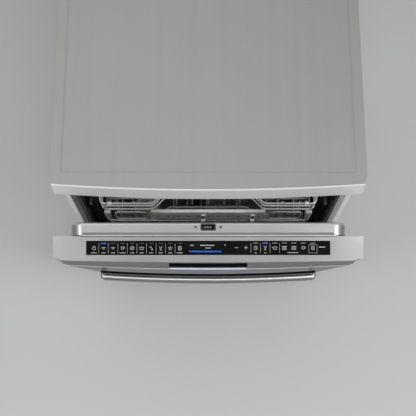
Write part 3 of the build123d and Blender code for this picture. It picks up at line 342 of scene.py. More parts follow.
def open_with_door(piece):
    """Swing a piece that was modelled on the shut door open with it."""
    piece.data.transform(swing_open)
    return piece


print("200 mm bowed by 10 mm has a radius of", bow_radius(100 * MM, 10 * MM))

# %% [markdown]
# A real sheet-metal edge is never perfectly sharp: a radius of half a millimetre catches the light
# as a thin bright line, and that line is what tells the eye that it is metal. The frame's shapes
# are right but their edges are sharp, so a copy of a node is merged from loose triangles into whole
# faces, its edges are rounded, and the copy stands for the node.

# %% A merged copy of a node, and how a piece takes a node's place
WELD = 0.01 * MM            # points closer than this are one
SAME_PLANE = 0.4            # degrees between faces that are merged


def merged(node):
    """A copy of a node with its triangles merged into whole faces."""
    deselect()
    copy = bpy.data.objects.new(node + "_shape", frame["nodes"][node].data.copy())
    bpy.context.scene.collection.objects.link(copy)
    edit_all(copy)
    bpy.ops.mesh.remove_doubles(threshold=WELD)
    bpy.ops.mesh.dissolve_limited(angle_limit=radians(SAME_PLANE))
    done()
    return copy


def finish_with(piece, finish):
    """Give a piece one finish."""
    piece.data.materials.clear()
    piece.data.materials.append(finish)


def stand_for(piece, node, body, finish=None):
    """The piece rides on a body and is shown in place of a node."""
    if finish:
        finish_with(piece, finish)
    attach(piece, body)
    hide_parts(node)
    return piece


def refinish(piece, finish, test):
    """Give a second finish to the faces that pass a test of their centre and normal."""
    piece.data.materials.append(finish)
    pick_faces(piece, test)
    piece.active_material_index = len(piece.data.materials) - 1
    bpy.ops.object.material_slot_assign()
    done()


def add_to(piece, body, finish):
    """A piece of trim that the frame doesn't hold."""
    finish_with(piece, finish)
    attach(piece, body)


def dress(node, body, finish, width, segments=2, angle=30):
    """A softened copy that stands for a node."""
    return stand_for(round_edges(merged(node), width, segments, angle), node, body, finish)


# %% [markdown]
# The racks are welded from round wire, and so is much of the looks inside. A wire is made as a
# bender makes it: a ring is drawn out along a straight run, turned through an arc at the bend, and
# drawn out again. A rim closes on itself, and any other wire gets its two ends capped.

# %% A round wire along straight runs and bends
WIRE_SIDES = 8
ARC_STEP = 22.5             # degrees of an arc between two rings
SEAM = 0.1                  # share of the radius within which a closed wire's ends are one


def draw_out(way):
    """Extrude what is selected by a straight run."""
    bpy.ops.mesh.extrude_region_move(TRANSFORM_OT_translate={"value": way})


def wire(name, path, radius, bend=10 * MM, closed=False):
    """A round wire with arcs at the corners of its path."""
    points = [Vector(point) for point in path]
    if closed:
        middle = (points[-1] + points[0]) / 2
        points = [middle, *points, middle]
    deselect()
    bpy.ops.mesh.primitive_circle_add(
        vertices=WIRE_SIDES,
        radius=radius,
        fill_type="NOTHING",
        location=points[0],
        rotation=(points[1] - points[0]).to_track_quat("Z", "Y").to_euler(),
    )
    piece = start(name)
    edit_all(piece)
    here = points[0]
    for before, corner, after in zip(points, points[1:], points[2:]):
        way_in = (corner - before).normalized()
        way_out = (after - corner).normalized()
        turn = way_in.angle(way_out)
        cut = bend * tan(turn / 2)
        arc_start = corner - way_in * cut
        inward = (way_out - way_in * way_out.dot(way_in)).normalized()
        draw_out(arc_start - here)
        bpy.ops.mesh.spin(
            steps=max(2, round(degrees(turn) / ARC_STEP)),
            angle=-turn,
            center=arc_start + inward * bend,
            axis=way_in.cross(way_out).normalized(),
        )
        here = corner + way_out * cut
    draw_out(points[-1] - here)
    if closed:
        bpy.ops.mesh.select_all(action="SELECT")
        bpy.ops.mesh.remove_doubles(threshold=SEAM * radius)
    else:
        bpy.ops.mesh.edge_face_add()
        bpy.ops.mesh.select_all(action="DESELECT")
        bpy.ops.mesh.select_non_manifold()
        bpy.ops.mesh.edge_face_add()
    done()
    return smooth(face_outwards(piece), SMOOTH_BELOW)


print("a square bend has", round(90 / ARC_STEP), "steps")

# %% [markdown]
# Surfaces come next. Three effects turn up in many finishes, so each is a node group that is built
# once: the long fine lines of brushed metal, the soft clouds that hands and cloths leave, and the
# grain of a moulded plastic. Every group only puts out values that change over the surface, and the
# shader itself stays in each material.

# %% How a node group is started


def group(name, inputs, outputs):
    """An empty shader node group with named sockets."""
    tree = bpy.data.node_groups.new(name, "ShaderNodeTree")
    for label, kind, value in inputs:
        socket = tree.interface.new_socket(name=label, in_out="INPUT", socket_type=kind)
        socket.default_value = value
    for label in outputs:
        tree.interface.new_socket(name=label, in_out="OUTPUT", socket_type="NodeSocketFloat")
    return tree, tree.nodes.new("NodeGroupInput"), tree.nodes.new("NodeGroupOutput")


def add_node(tree, kind, **values):
    """A node with its properties and unlinked inputs set."""
    node = tree.nodes.new(kind)
    for key, value in values.items():
        if key in node.inputs:
            node.inputs[key].default_value = value
        else:
            setattr(node, key, value)
    return node


def link(tree, source, target):
    """One wire between two sockets."""
    tree.links.new(source, target)


def spread(tree, value, low, high):
    """Stretch the values between low and high to run from 0 to 1."""
    node = add_node(tree, "ShaderNodeMapRange")
    node.inputs["From Min"].default_value = low
    node.inputs["From Max"].default_value = high
    link(tree, value, node.inputs["Value"])
    return node.outputs["Result"]


print("node groups so far", len(bpy.data.node_groups))

# %% [markdown]
# The grain is noise that is squeezed across the brushing and drawn out along it. The marks are
# broad clouds, cut off where the metal is clean. The moulded grain is a field of tiny cells, with
# slow clouds under it where the plastic flowed.

# %% Node groups for grain, marks and moulding
CLOUD_RANGE = (0.35, 0.7)   # the noise values where marks start and are full


def make_grain():
    """Long fine lines: noise drawn out along one axis."""
    tree, given, result = group(
        "brushed_grain",
        [("Stretch", "NodeSocketVector", (1, 1, 1)), ("Fineness", "NodeSocketFloat", 900.0)],
        ["Lines", "Streaks"],
    )
    place = add_node(tree, "ShaderNodeTexCoord")
    stretch = add_node(tree, "ShaderNodeVectorMath", operation="MULTIPLY")
    fine = add_node(tree, "ShaderNodeTexNoise", Detail=3.0, Roughness=0.6)
    broad = add_node(tree, "ShaderNodeTexNoise", Scale=60.0, Detail=2.0, Roughness=0.5)
    link(tree, place.outputs["Object"], stretch.inputs[0])
    link(tree, given.outputs["Stretch"], stretch.inputs[1])
    link(tree, given.outputs["Fineness"], fine.inputs["Scale"])
    for noise, label in ((fine, "Lines"), (broad, "Streaks")):
        link(tree, stretch.outputs["Vector"], noise.inputs["Vector"])
        link(tree, noise.outputs["Fac"], result.inputs[label])
    return tree


def make_marks():
    """Soft clouds, from 0 on a clean surface to 1 where hands and cloths have been."""
    tree, given, result = group("handling_marks", [("Scale", "NodeSocketFloat", 9.0)], ["Clouds"])
    place = add_node(tree, "ShaderNodeTexCoord")
    clouds = add_node(tree, "ShaderNodeTexNoise", Detail=4.0, Roughness=0.55, Distortion=0.4)
    link(tree, given.outputs["Scale"], clouds.inputs["Scale"])
    link(tree, place.outputs["Object"], clouds.inputs["Vector"])
    link(tree, spread(tree, clouds.outputs["Fac"], *CLOUD_RANGE), result.inputs["Clouds"])
    return tree


def make_moulding():
    """The fine pebbled grain that a steel mould leaves on plastic, and the faint flow clouds."""
    tree, given, result = group(
        "moulded_grain", [("Fineness", "NodeSocketFloat", 1600.0)], ["Pebbles", "Flow"]
    )
    place = add_node(tree, "ShaderNodeTexCoord")
    pebbles = add_node(tree, "ShaderNodeTexVoronoi")
    flow = add_node(tree, "ShaderNodeTexNoise", Scale=22.0, Detail=2.0)
    link(tree, given.outputs["Fineness"], pebbles.inputs["Scale"])
    link(tree, place.outputs["Object"], pebbles.inputs["Vector"])
    link(tree, place.outputs["Object"], flow.inputs["Vector"])
    link(tree, pebbles.outputs["Distance"], result.inputs["Pebbles"])
    link(tree, flow.outputs["Fac"], result.inputs["Flow"])
    return tree


grain_group = make_grain()
marks_group = make_marks()
moulding_group = make_moulding()
print("node groups", [tree.name for tree in bpy.data.node_groups])

# %% [markdown]
# Most of the machine is steel or aluminium. One function makes them all: a colour that the streaks
# shift a little, a roughness that lines and clouds vary, and a very shallow bump from the lines.
# The brushing runs along X on the door, as it does on a real sheet, from front to back on the
# worktop and upright on the sides, so the direction is a value.

# %% Metals
MIX_LOW, MIX_HIGH, MIX_RESULT = 6, 7, 2     # the colour sockets of a Mix node
DRAWN = 0.03                # a line is this many times thinner than it is long
ALONG_X = (DRAWN, 1, 1)
ALONG_Y = (1, DRAWN, 1)
ALONG_Z = (1, 1, DRAWN)
NO_GRAIN = (1, 1, 1)
LINE_ROUGH = 0.05           # how far the lines shift the roughness each way
MARK_ROUGH = 0.07           # how much rougher a full mark is
LINE_DEPTH = 0.004 * MM


def new_material(name):
    """An empty material, its node tree and its shader."""
    material = bpy.data.materials.new(name)
    material.use_nodes = True
    return material, material.node_tree, material.node_tree.nodes["Principled BSDF"]


def mixed(tree, mask, low, high):
    """A colour or a number that runs from low to high with a mask."""
    if isinstance(low, tuple):
        node = add_node(tree, "ShaderNodeMix", data_type="RGBA")
        node.inputs[MIX_LOW].default_value = (*low, 1)
        node.inputs[MIX_HIGH].default_value = (*high, 1)
        link(tree, mask, node.inputs[0])
        return node.outputs[MIX_RESULT]
    node = add_node(tree, "ShaderNodeMapRange")
    node.inputs["To Min"].default_value = low
    node.inputs["To Max"].default_value = high
    link(tree, mask, node.inputs["Value"])
    return node.outputs["Result"]


def bump(tree, shader, height, depth, strength=1.0):
    """A shallow relief from a height mask."""
    node = add_node(tree, "ShaderNodeBump", Strength=strength, Distance=depth)
    link(tree, height, node.inputs["Height"])
    link(tree, node.outputs["Normal"], shader.inputs["Normal"])


def shades(colour, shift):
    """A darker and a lighter neighbour of a colour."""
    return [tuple(tone * (1 + side * shift) for tone in colour) for side in (-1, 1)]


def metal(name, colour, roughness, stretch=ALONG_X, fineness=900.0, shift=0.06, bare=1.0):
    """Brushed or satin metal. A share of bare metal under 1 is anodised, painted or coated."""
    material, tree, shader = new_material(name)
    grain = add_node(tree, "ShaderNodeGroup", node_tree=grain_group)
    grain.inputs["Stretch"].default_value = stretch
    grain.inputs["Fineness"].default_value = fineness
    marks = add_node(tree, "ShaderNodeGroup", node_tree=marks_group)
    tone = mixed(tree, grain.outputs["Streaks"], *shades(colour, shift))
    link(tree, tone, shader.inputs["Base Color"])
    smoothest, roughest = roughness - LINE_ROUGH, roughness + LINE_ROUGH
    clean = mixed(tree, grain.outputs["Lines"], smoothest, roughest)
    worn = add_node(tree, "ShaderNodeMath", operation="MULTIPLY_ADD")
    worn.inputs[1].default_value = MARK_ROUGH
    link(tree, marks.outputs["Clouds"], worn.inputs[0])
    link(tree, clean, worn.inputs[2])
    link(tree, worn.outputs["Value"], shader.inputs["Roughness"])
    shader.inputs["Metallic"].default_value = bare
    bump(tree, shader, grain.outputs["Lines"], LINE_DEPTH)
    return material


worktop_finish = metal("satin_worktop", (0.335, 0.331, 0.324), 0.42, ALONG_Y, 1500.0, 0.03, 0.5)
trim_finish = metal("satin_trim", (0.64, 0.635, 0.625), 0.38, ALONG_X, 1200.0, 0.03, 0.25)
side_metal = metal("cabinet_steel", (0.60, 0.60, 0.60), 0.36, ALONG_Z)
tub_metal = metal("tub_steel", (0.50, 0.50, 0.48), 0.26, ALONG_X, 700.0)
# Painted shade: a near-black copy of the tub's steel, for the front flange and the head's rear
# step.
painted_shade_steel = metal("flange_steel", (0.07, 0.068, 0.064), 0.35, ALONG_Z, 700.0)
# Painted light: a bright copy of the same steel, for the right end of the tub's front flange.
lit_flange = metal("lit_flange_steel", (0.50, 0.49, 0.47), 0.30, ALONG_Z, 700.0, 0.16)
liner_metal = metal("liner_steel", (0.53, 0.53, 0.53), 0.32, ALONG_X, 1100.0, 0.03)
fascia_finish = metal("fascia_steel", (0.46, 0.456, 0.444), 0.33, ALONG_X, 1300.0, 0.03)
# Painted highlight: a bright edge at the foot of the head's slanting face.
highlight_edge_metal = metal("edge_painted_highlight", (0.92, 0.915, 0.90), 0.30, ALONG_X, 1300.0, 0.03, 0.5)
door_finish = metal("door_steel", (0.178, 0.193, 0.21), 0.36, ALONG_X, 1100.0)
# Painted shade: the head's steel made darker for its slanting face.
slope_shade_finish = metal("slope_steel_painted_shade", (0.27, 0.267, 0.26), 0.36, ALONG_X, 1300.0, 0.03)
# Painted highlight: a brighter copy of the liner's steel, for the rear fold and the liner's
# rounding.
fold_highlight_finish = metal("fold_steel_painted_highlight", (0.62, 0.615, 0.60), 0.36, ALONG_X, 1300.0, 0.03, 0.7)
handle_finish = metal("handle_steel", (0.41, 0.405, 0.388), 0.30, ALONG_X, 1300.0, 0.03)
# Painted shade and highlight: darker copies of the handle's steel for its top and rear, a bright
# one for the band.
handle_top_shade = metal("handle_top_steel", (0.20, 0.197, 0.19), 0.34, ALONG_X, 1300.0, 0.03)
handle_rear_shade = metal("handle_rear_painted_shade", (0.035, 0.034, 0.032), 0.40, ALONG_X, 1300.0, 0.03)
band_highlight_metal = metal("handle_band_painted_highlight", (0.88, 0.875, 0.86), 0.32, ALONG_X, 1300.0, 0.02, 0.6)
zinc = metal("zinc_coat", (0.50, 0.51, 0.52), 0.45, NO_GRAIN, 140.0, 0.12)
screw_metal = metal("screw_steel", (0.20, 0.20, 0.20), 0.35, NO_GRAIN, 300.0, 0.10)
polished = metal("polished_steel", (0.92, 0.92, 0.91), 0.14, ALONG_X, 900.0, 0.02)
grip_metal = metal("grip_steel", (0.87, 0.86, 0.84), 0.25, ALONG_X, 900.0, 0.02, 0.25)
strip_metal = metal("strip_steel", (0.80, 0.80, 0.79), 0.40, ALONG_X, 900.0, 0.05, 0.1)
wire_finish = metal("rack_wire_coat", (0.55, 0.55, 0.54), 0.32, NO_GRAIN, 500.0, 0.06, 0.15)
print("metals made", len(bpy.data.materials))

# %% [markdown]
# The upper rack's grip bar gets a painted highlight: its colour is bright in the middle and turns
# darker towards its two ends. Its material is finished like the rest, and one more mix is put in
# front of its colour, by the distance from the middle.

# %% A painted highlight along the grip bar
FADE_FROM = 70 * MM         # from the machine's middle
FADE_TO = 120 * MM


def fade_highlight_to_ends(material, colour):
    """Paint a bar's colour darker towards its two ends, so that its middle is a painted highlight.
    """
    tree = material.node_tree
    target = tree.nodes["Principled BSDF"].inputs["Base Color"]
    clean = target.links[0].from_socket
    place = add_node(tree, "ShaderNodeTexCoord")
    split_place = add_node(tree, "ShaderNodeSeparateXYZ")
    far = add_node(tree, "ShaderNodeMath", operation="ABSOLUTE")
    blend = add_node(tree, "ShaderNodeMix", data_type="RGBA")
    blend.inputs[MIX_HIGH].default_value = (*colour, 1)
    link(tree, place.outputs["Object"], split_place.inputs["Vector"])
    link(tree, split_place.outputs["X"], far.inputs[0])
    link(tree, spread(tree, far.outputs["Value"], FADE_FROM, FADE_TO), blend.inputs[0])
    link(tree, clean, blend.inputs[MIX_LOW])
    link(tree, blend.outputs[MIX_RESULT], target)


# The bar's bright middle and darker ends are a painted highlight.
fade_highlight_to_ends(grip_metal, (0.52, 0.49, 0.43))
print("grip bar dulled from", FADE_FROM, "to", FADE_TO)

# %% [markdown]
# The plastics, the rubber and the painted plinth have no metal in them, so their colour is what
# counts and their shine is a broad soft one. The mould's pebbled grain breaks it up, and the flow
# clouds keep a large face from looking like one flat colour.

# %% Plastics, rubber, felt and paint
CLEAN_ROUGH = 0.05          # how much smoother clean plastic is than its written roughness
TOUCHED_ROUGH = 0.08        # how much rougher a full mark is
GRAIN_STRENGTH = 0.6


def plastic(name, colour, roughness, fineness=1600.0, relief=0.02 * MM, shift=0.10):
    """Moulded plastic, rubber or paint."""
    material, tree, shader = new_material(name)
    moulding = add_node(tree, "ShaderNodeGroup", node_tree=moulding_group)
    moulding.inputs["Fineness"].default_value = fineness
    marks = add_node(tree, "ShaderNodeGroup", node_tree=marks_group)
    tone = mixed(tree, moulding.outputs["Flow"], *shades(colour, shift))
    link(tree, tone, shader.inputs["Base Color"])
    smoothest, roughest = roughness - CLEAN_ROUGH, roughness + TOUCHED_ROUGH
    rough = mixed(tree, marks.outputs["Clouds"], smoothest, roughest)
    link(tree, rough, shader.inputs["Roughness"])
    bump(tree, shader, moulding.outputs["Pebbles"], relief, GRAIN_STRENGTH)
    return material


grey_plastic = plastic("grey_moulding", (0.34, 0.36, 0.38), 0.42)
blue_plastic = plastic("blue_grey_moulding", (0.24, 0.28, 0.34), 0.40)
black_plastic = plastic("black_moulding", (0.022, 0.022, 0.024), 0.45)
white_plastic = plastic("white_moulding", (0.72, 0.72, 0.70), 0.40)
# White paint for the strip's collars and tabs, and a painted highlight on the side panels' steel
# edges.
white_edge = plastic("white_paint_and_edge_highlight", (0.90, 0.90, 0.89), 0.35, 2600.0, 0.005 * MM, 0.02)
grey_rubber = plastic("grey_rubber", (0.16, 0.16, 0.155), 0.50, 700.0)
corner_plastic = plastic("corner_moulding", (0.42, 0.45, 0.49), 0.40)
# Painted shade: near-black plastic for the lift levers and runners, darkened as shade.
shade_dark_plastic = plastic("lever_moulding_painted_shade", (0.045, 0.05, 0.06), 0.45)
seal_rubber = plastic("seal_rubber", (0.018, 0.018, 0.018), 0.60, 700.0)
plinth_paint = plastic("plinth_paint", (0.06, 0.06, 0.063), 0.38, 2600.0, 0.01 * MM)
board_green = plastic("circuit_board", (0.02, 0.13, 0.06), 0.30, 500.0, 0.05 * MM)
felt = plastic("insulation_felt", (0.06, 0.055, 0.05), 0.90, 300.0, 0.5 * MM, 0.35)
cord_fibre = plastic("cord_fibre", (0.62, 0.60, 0.54), 0.75, 900.0, 0.2 * MM, 0.15)
print("materials made", len(bpy.data.materials))

# %% [markdown]
# The touch strip is a sheet of black glass with symbols behind it. The glass is a dark glossy
# surface with a few fingermarks. The symbols are printed pale grey and given a faint painted glow.
# The small bars and the progress line are lamps, so they send out light of their own, and the unlit
# lamps get a fainter painted glow.

# %% Glass and light
FINGER_MARKS = 24.0         # scale of the marks on glass
CLEAN_GLASS, TOUCHED_GLASS = 0.16, 0.26     # roughness
GLASS_SHIFT = 0.3
GLOW_PATCHES = 120.0        # scale of the uneven glow
DIMMEST = 0.75              # share of the full glow


def dark_glass(name, colour, shine):
    """Black glass with fingermarks that only show in its shine."""
    material, tree, shader = new_material(name)
    marks = add_node(tree, "ShaderNodeGroup", node_tree=marks_group)
    marks.inputs["Scale"].default_value = FINGER_MARKS
    mask = marks.outputs["Clouds"]
    link(tree, mixed(tree, mask, CLEAN_GLASS, TOUCHED_GLASS), shader.inputs["Roughness"])
    link(tree, mixed(tree, mask, *shades(colour, GLASS_SHIFT)), shader.inputs["Base Color"])
    shader.inputs["Specular IOR Level"].default_value = shine
    return material


def lit(name, colour, strength):
    """A lamp's glow, a little uneven across its width; on a printed mark the glow is painted."""
    material, tree, shader = new_material(name)
    marks = add_node(tree, "ShaderNodeGroup", node_tree=marks_group)
    marks.inputs["Scale"].default_value = GLOW_PATCHES
    glow = mixed(tree, marks.outputs["Clouds"], colour, tuple(tone * DIMMEST for tone in colour))
    link(tree, glow, shader.inputs["Emission Color"])
    link(tree, glow, shader.inputs["Base Color"])
    shader.inputs["Emission Strength"].default_value = strength
    shader.inputs["Roughness"].default_value = 0.5
    return material


black_glass = dark_glass("black_glass", (0.005, 0.005, 0.0055), 0.06)
window_glass = dark_glass("window_glass", (0.0015, 0.0015, 0.002), 0.01)
# Painted glow: the printed symbols and the unlit lamps glow faintly, though no lamp lights them.
symbol_print_painted_glow = lit("symbol_print_painted_glow", (0.34, 0.33, 0.31), 0.20)
unlit_print_painted_glow = lit("unlit_print_painted_glow", (0.045, 0.045, 0.045), 0.10)
blue_lamp = lit("blue_lamp", (0.001, 0.07, 0.38), 0.46)
white_lamp = lit("white_lamp", (0.60, 0.66, 0.85), 0.5)
print("glass and lamps made")

# %% [markdown]
# The worktop is what the eye meets first: a broad satin sheet with one pressed line near its edge,
# and a thicker trim along its bowed front. The frame has both shapes, so softened copies stand for
# them. The trim's upper edge gets the widest rounding, because on the real one it shows as one
# bright line from end to end.

# %% Worktop and cabinet
# Painted highlight: this deep along the side panels' front edge, the steel is painted white.
EDGE_HIGHLIGHT_DEPTH = 1.5 * MM     # depth of the side panels' painted front edge
FLANGE = 4 * MM             # depth of the tub's front flange
RIGHT_FLANGE_X = 200 * MM
dress("worktop", "cabinet", worktop_finish, 0.5 * MM)
dress("worktop_front_trim", "cabinet", trim_finish, 1.1 * MM, 3, 40)
cabinet_front = node_box("left_side_panel")[0].y
for node in ("left_side_panel", "right_side_panel"):
    panel = dress(node, "cabinet", side_metal, 0.3 * MM)
    # The panels' steel front edge is painted white, as a painted highlight.
    refinish(panel, white_edge, lambda middle, normal: middle.y < cabinet_front + EDGE_HIGHLIGHT_DEPTH)
dress("back_panel", "cabinet", zinc, 0.2 * MM)
dress("plinth", "cabinet", plinth_paint, 0.8 * MM)
dress("base_tray", "cabinet", black_plastic, 0.6 * MM)
wrapper = dress("tub_wrapper", "cabinet", tub_metal, 0.25 * MM)
# The tub's front flange is painted near black as shade, and painted bright towards its right end.
for finish, from_x in ((painted_shade_steel, frame_box[0][0]), (lit_flange, RIGHT_FLANGE_X)):
    refinish(
        wrapper,
        finish,
        lambda middle, normal: middle.y < cabinet_front + FLANGE and middle.x > from_x,
    )
dress("tub_seal", "cabinet", seal_rubber, 2.0 * MM, 3)
dress("levelling_feet", "cabinet", black_plastic, 1.2 * MM, 3)
print("cabinet dressed")

# %% [markdown]
# The door's head is a steel cap with a level top, a crease and a slanting face below it. It starts
# as a box whose two front corners are rounded. Its front is bowed, its rear and sides are set
# straight again, and the slanting face comes from drawing the front of its top back towards the
# corners' line.

# %% The door's head: its outline
SLOPE_RISE = 25 * MM
SLOPE_RUN = 13 * MM
DOOR_BOW = 8.5 * MM
DOOR_FACE_HALF = 274 * MM
CORNER = 26 * MM            # radius of the front corners in plan
CORNER_STEPS = 8
HEAD_CUTS = 30
HOLLOW_WALL = 14 * MM
HOLLOW_DEPTH = 18 * MM
door_radius = bow_radius(DOOR_FACE_HALF, DOOR_BOW)
head_low, head_high = shut_box("fascia")
slope_foot = head_high.z - SLOPE_RISE
head_depth = head_high.y - head_low.y
head = start_box("door_head", (head_low.x, 0, head_low.z), (head_high.x, head_depth, head_high.z))
bevel_edges(head, lambda a, b: abs(a.z - b.z) > CORNER and a.y < MM, CORNER, CORNER_STEPS)
bend_back(divide_along_x(head, HEAD_CUTS), door_radius)
head.data.transform(Matrix.Translation((0, head_low.y, 0)))
pick_faces(head, lambda middle, normal: normal.y > FACING)
squeeze((1, 0, 1), (0, head_high.y, 0))
for end_x in (head_low.x, head_high.x):
    pick_faces(head, lambda middle, normal: normal.x * end_x > FACING * head_high.x)
    squeeze((0, 1, 1), (end_x, 0, 0))
cross_cut(head, (0, 0, slope_foot), (0, 0, 1))
corner_y = min(
    vertex.co.y for vertex in head.data.vertices if vertex.co.x > head_high.x - NEAR
)
pick_edges(
    head, lambda a, b: min(a.z, b.z) > head_high.z - NEAR and max(a.y, b.y) < corner_y + NEAR
)
drawn_back = 1 - SLOPE_RUN / (corner_y - head_low.y)
squeeze((1, drawn_back, 1), (0, corner_y, 0))
pick_faces(head, lambda middle, normal: normal.z < -FACING)
bpy.ops.mesh.inset(thickness=HOLLOW_WALL)
draw_out((0, 0, HOLLOW_DEPTH))
done()
print("head", tuple(head_low), tuple(head_high), "corners from", corner_y)

# %% [markdown]
# The glass strip and the small window are let into pockets. The window leans like the face it sits
# in, so a copy of it, pushed outwards as well, is the best cutter. A step along the rear edge of
# the top is painted near black as painted shade, so it shows as a thin dark line. The slanting face
# is painted darker than the top, also as painted shade, and its foot gets a painted highlight.

# %% The door's head: pockets, step and edges
PLAY = 0.3 * MM
PUSH = 2 * MM
STEP_HALF = 243 * MM
STEP_WIDTH = 1.4 * MM
STEP_DEPTH = 2 * MM
FOOT_LINE = 1.7 * MM
SLOPE_LEAN = (0.2, FACING)  # part of the normal that looks up, on the slanting face
glass_low, glass_high = shut_box("control_glass")
cut_box(head, glass_low - Vector((PLAY, PLAY, PLAY)), glass_high + Vector((PLAY, PLAY, PUSH)))
outward = Vector((0, -SLOPE_RISE, SLOPE_RUN)).normalized()
for push in (0, PUSH):
    pocket = merged("display_window")
    pocket.data.transform(Matrix.Translation(outward * push) @ swing_shut)
    cut_away(head, pocket)
step_y = head_high.y - STEP_WIDTH
cut_box(
    head,
    (-STEP_HALF, step_y, head_high.z - STEP_DEPTH),
    (STEP_HALF, head_high.y + PUSH, head_high.z + PUSH),
)
foot_top = slope_foot + FOOT_LINE
cross_cut(head, (0, 0, foot_top), (0, 0, 1))
round_edges(head, 0.4 * MM, 3, 12)
finish_with(head, fascia_finish)
# The slanting face is painted darker than the top, as painted shade.
refinish(
    head,
    slope_shade_finish,
    lambda middle, normal: SLOPE_LEAN[0] < normal.z < SLOPE_LEAN[1] and middle.z > foot_top,
)
# The foot of the slanting face gets a painted highlight.
refinish(
    head,
    highlight_edge_metal,
    lambda middle, normal: slope_foot - PLAY < middle.z < foot_top and normal.y < -SLOPE_LEAN[0],
)
# The rear step is painted near black, as painted shade.
refinish(
    head, painted_shade_steel, lambda middle, normal: middle.y > step_y and abs(middle.x) < STEP_HALF
)
stand_for(open_with_door(head), "fascia", "door")
print("head faces", len(head.data.polygons))

# %% [markdown]
# A narrow fold of the liner shows behind the dark step, finished brighter than the liner as a
# painted highlight. It is a thin bar of its own along the head's rear, a little below its top.

# %% The fold behind the door's head
FOLD_DEPTH = 2.5 * MM
FOLD_TOP, FOLD_FOOT = 3 * MM, 8 * MM        # below the head's top
fold = start_box(
    "rear_fold",
    (-STEP_HALF, head_high.y + NEAR, head_high.z - FOLD_FOOT),
    (STEP_HALF, head_high.y + NEAR + FOLD_DEPTH, head_high.z - FOLD_TOP),
)
round_edges(fold, 0.4 * MM)
add_to(open_with_door(fold), "door", fold_highlight_finish)
print("fold", tuple(fold.dimensions))

# %% [markdown]
# The door's skin, its liner and what is set in them have the right shapes in the frame, so softened
# copies stand for them. The liner's rear rounding is painted brighter than its flat top, as a
# painted highlight.

# %% Door skin, liner and what is set in them
ROUNDING_UP = 0.3           # least part of a normal that looks up, on a rounding
dress("door_panel", "door", door_finish, 0.4 * MM)
liner = dress("door_liner", "door", liner_metal, 0.3 * MM)
# The liner's rear rounding is painted brighter, as a painted highlight.
refinish(liner, fold_highlight_finish, lambda middle, normal: normal.y > 0.02 and normal.z > ROUNDING_UP)
dress("control_glass", "door", black_glass, 0.3 * MM)
dress("display_window", "door", window_glass, 0.3 * MM)
dress("liner_edge_trim", "door", grey_rubber, 0.5 * MM)
dress("latch_plate", "door", black_plastic, 0.3 * MM)
dress("dispenser", "door", grey_plastic, 0.8 * MM)
dress("dispenser_lid", "detergent_lid", blue_plastic, 0.6 * MM)
dress("rinse_aid_cap", "rinse_lid", blue_plastic, 0.5 * MM)
print("door dressed")

# %% [markdown]
# The handle is one bowed bar. Its outer upper edge is rolled over, a narrow band with a painted
# highlight runs behind the roll, then comes a narrow slot, and its rear edge slants down. Behind
# the band the top is painted darker and the slanting rear near black, both as painted shade. It is
# far
# easier to shape a straight bar: its bands can be cut and coloured by their distance from the
# front.
# The bar is bowed when all that is done.

# %% The handle as a straight bar
HANDLE_BOW = 7 * MM
BAR_DEPTH = 18.6 * MM
BAR_PLATE = 6 * MM
BAR_LIP = 5 * MM
BAR_END = 9 * MM
END_ROUND = 10 * MM
ROLL_RADIUS = 6.4 * MM
ROLL_STEPS = 6
SLOT_WIDTH = 1.5 * MM
SLOT_DEPTH = 4 * MM
SLOT_MIDDLE = 11.4 * MM     # from the front
handle_low, handle_high = shut_box("handle")
handle_half = handle_high.x
handle_tall = handle_high.z - handle_low.z
handle_inner = handle_half - BAR_END
slot_half = handle_inner - MM
handle = start_box("handle_bar", (-handle_half, 0, -handle_tall), (handle_half, BAR_DEPTH, 0))
bevel_edges(
    handle, lambda a, b: abs(a.z - b.z) > END_ROUND and a.y < MM, END_ROUND, ROLL_STEPS
)
bevel_edges(
    handle,
    lambda a, b: min(a.z, b.z) > -MM and min(a.y, b.y) < BAR_DEPTH - NEAR,
    ROLL_RADIUS,
    ROLL_STEPS,
)
cut_box(
    handle,
    (-handle_inner, BAR_LIP, -handle_tall - MM),
    (handle_inner, BAR_DEPTH + MM, -BAR_PLATE),
)
cut_box(
    handle,
    (-slot_half, SLOT_MIDDLE - SLOT_WIDTH / 2, -SLOT_DEPTH),
    (slot_half, SLOT_MIDDLE + SLOT_WIDTH / 2, MM),
)
print("handle bar", tuple(handle.dimensions))

# %% [markdown]
# The bar is cut along at the edge of each band and the rear edge is let down, so that it slants.
# Cuts across it let it bow smoothly. A leg at each end, mirrored, carries it on the door's face.

# %% The handle's bands, legs and bow
HIGHLIGHT_BAND_WIDTH = 2 * MM
REAR_SLANT = 4 * MM
REAR_DROP = 3 * MM
LEG_DEPTH = 25.6 * MM       # from the handle's front at its ends into the door's face
BOW_CUTS = 36
highlight_band_start, highlight_band_end = ROLL_RADIUS - 0.5 * MM, ROLL_RADIUS + HIGHLIGHT_BAND_WIDTH
rear_start = BAR_DEPTH - REAR_SLANT
for cut_y in (highlight_band_end, rear_start):
    cross_cut(handle, (0, cut_y, 0), (0, 1, 0))
pick_edges(handle, lambda a, b: min(a.z, b.z) > -MM and min(a.y, b.y) > BAR_DEPTH - NEAR)
bpy.ops.transform.translate(value=(0, 0, -REAR_DROP))
done()
for index in range(1, BOW_CUTS):
    cross_cut(handle, (handle_half * (2 * index / BOW_CUTS - 1), 0, 0), (1, 0, 0))


def in_rear_shade(middle, normal):
    """Whether a face is on the slanting rear, or on the lips below it, where shade is painted."""
    start_y = rear_start if middle.z > -REAR_DROP else highlight_band_end
    return middle.y > start_y and normal.z > ROUNDING_UP


finish_with(handle, handle_finish)
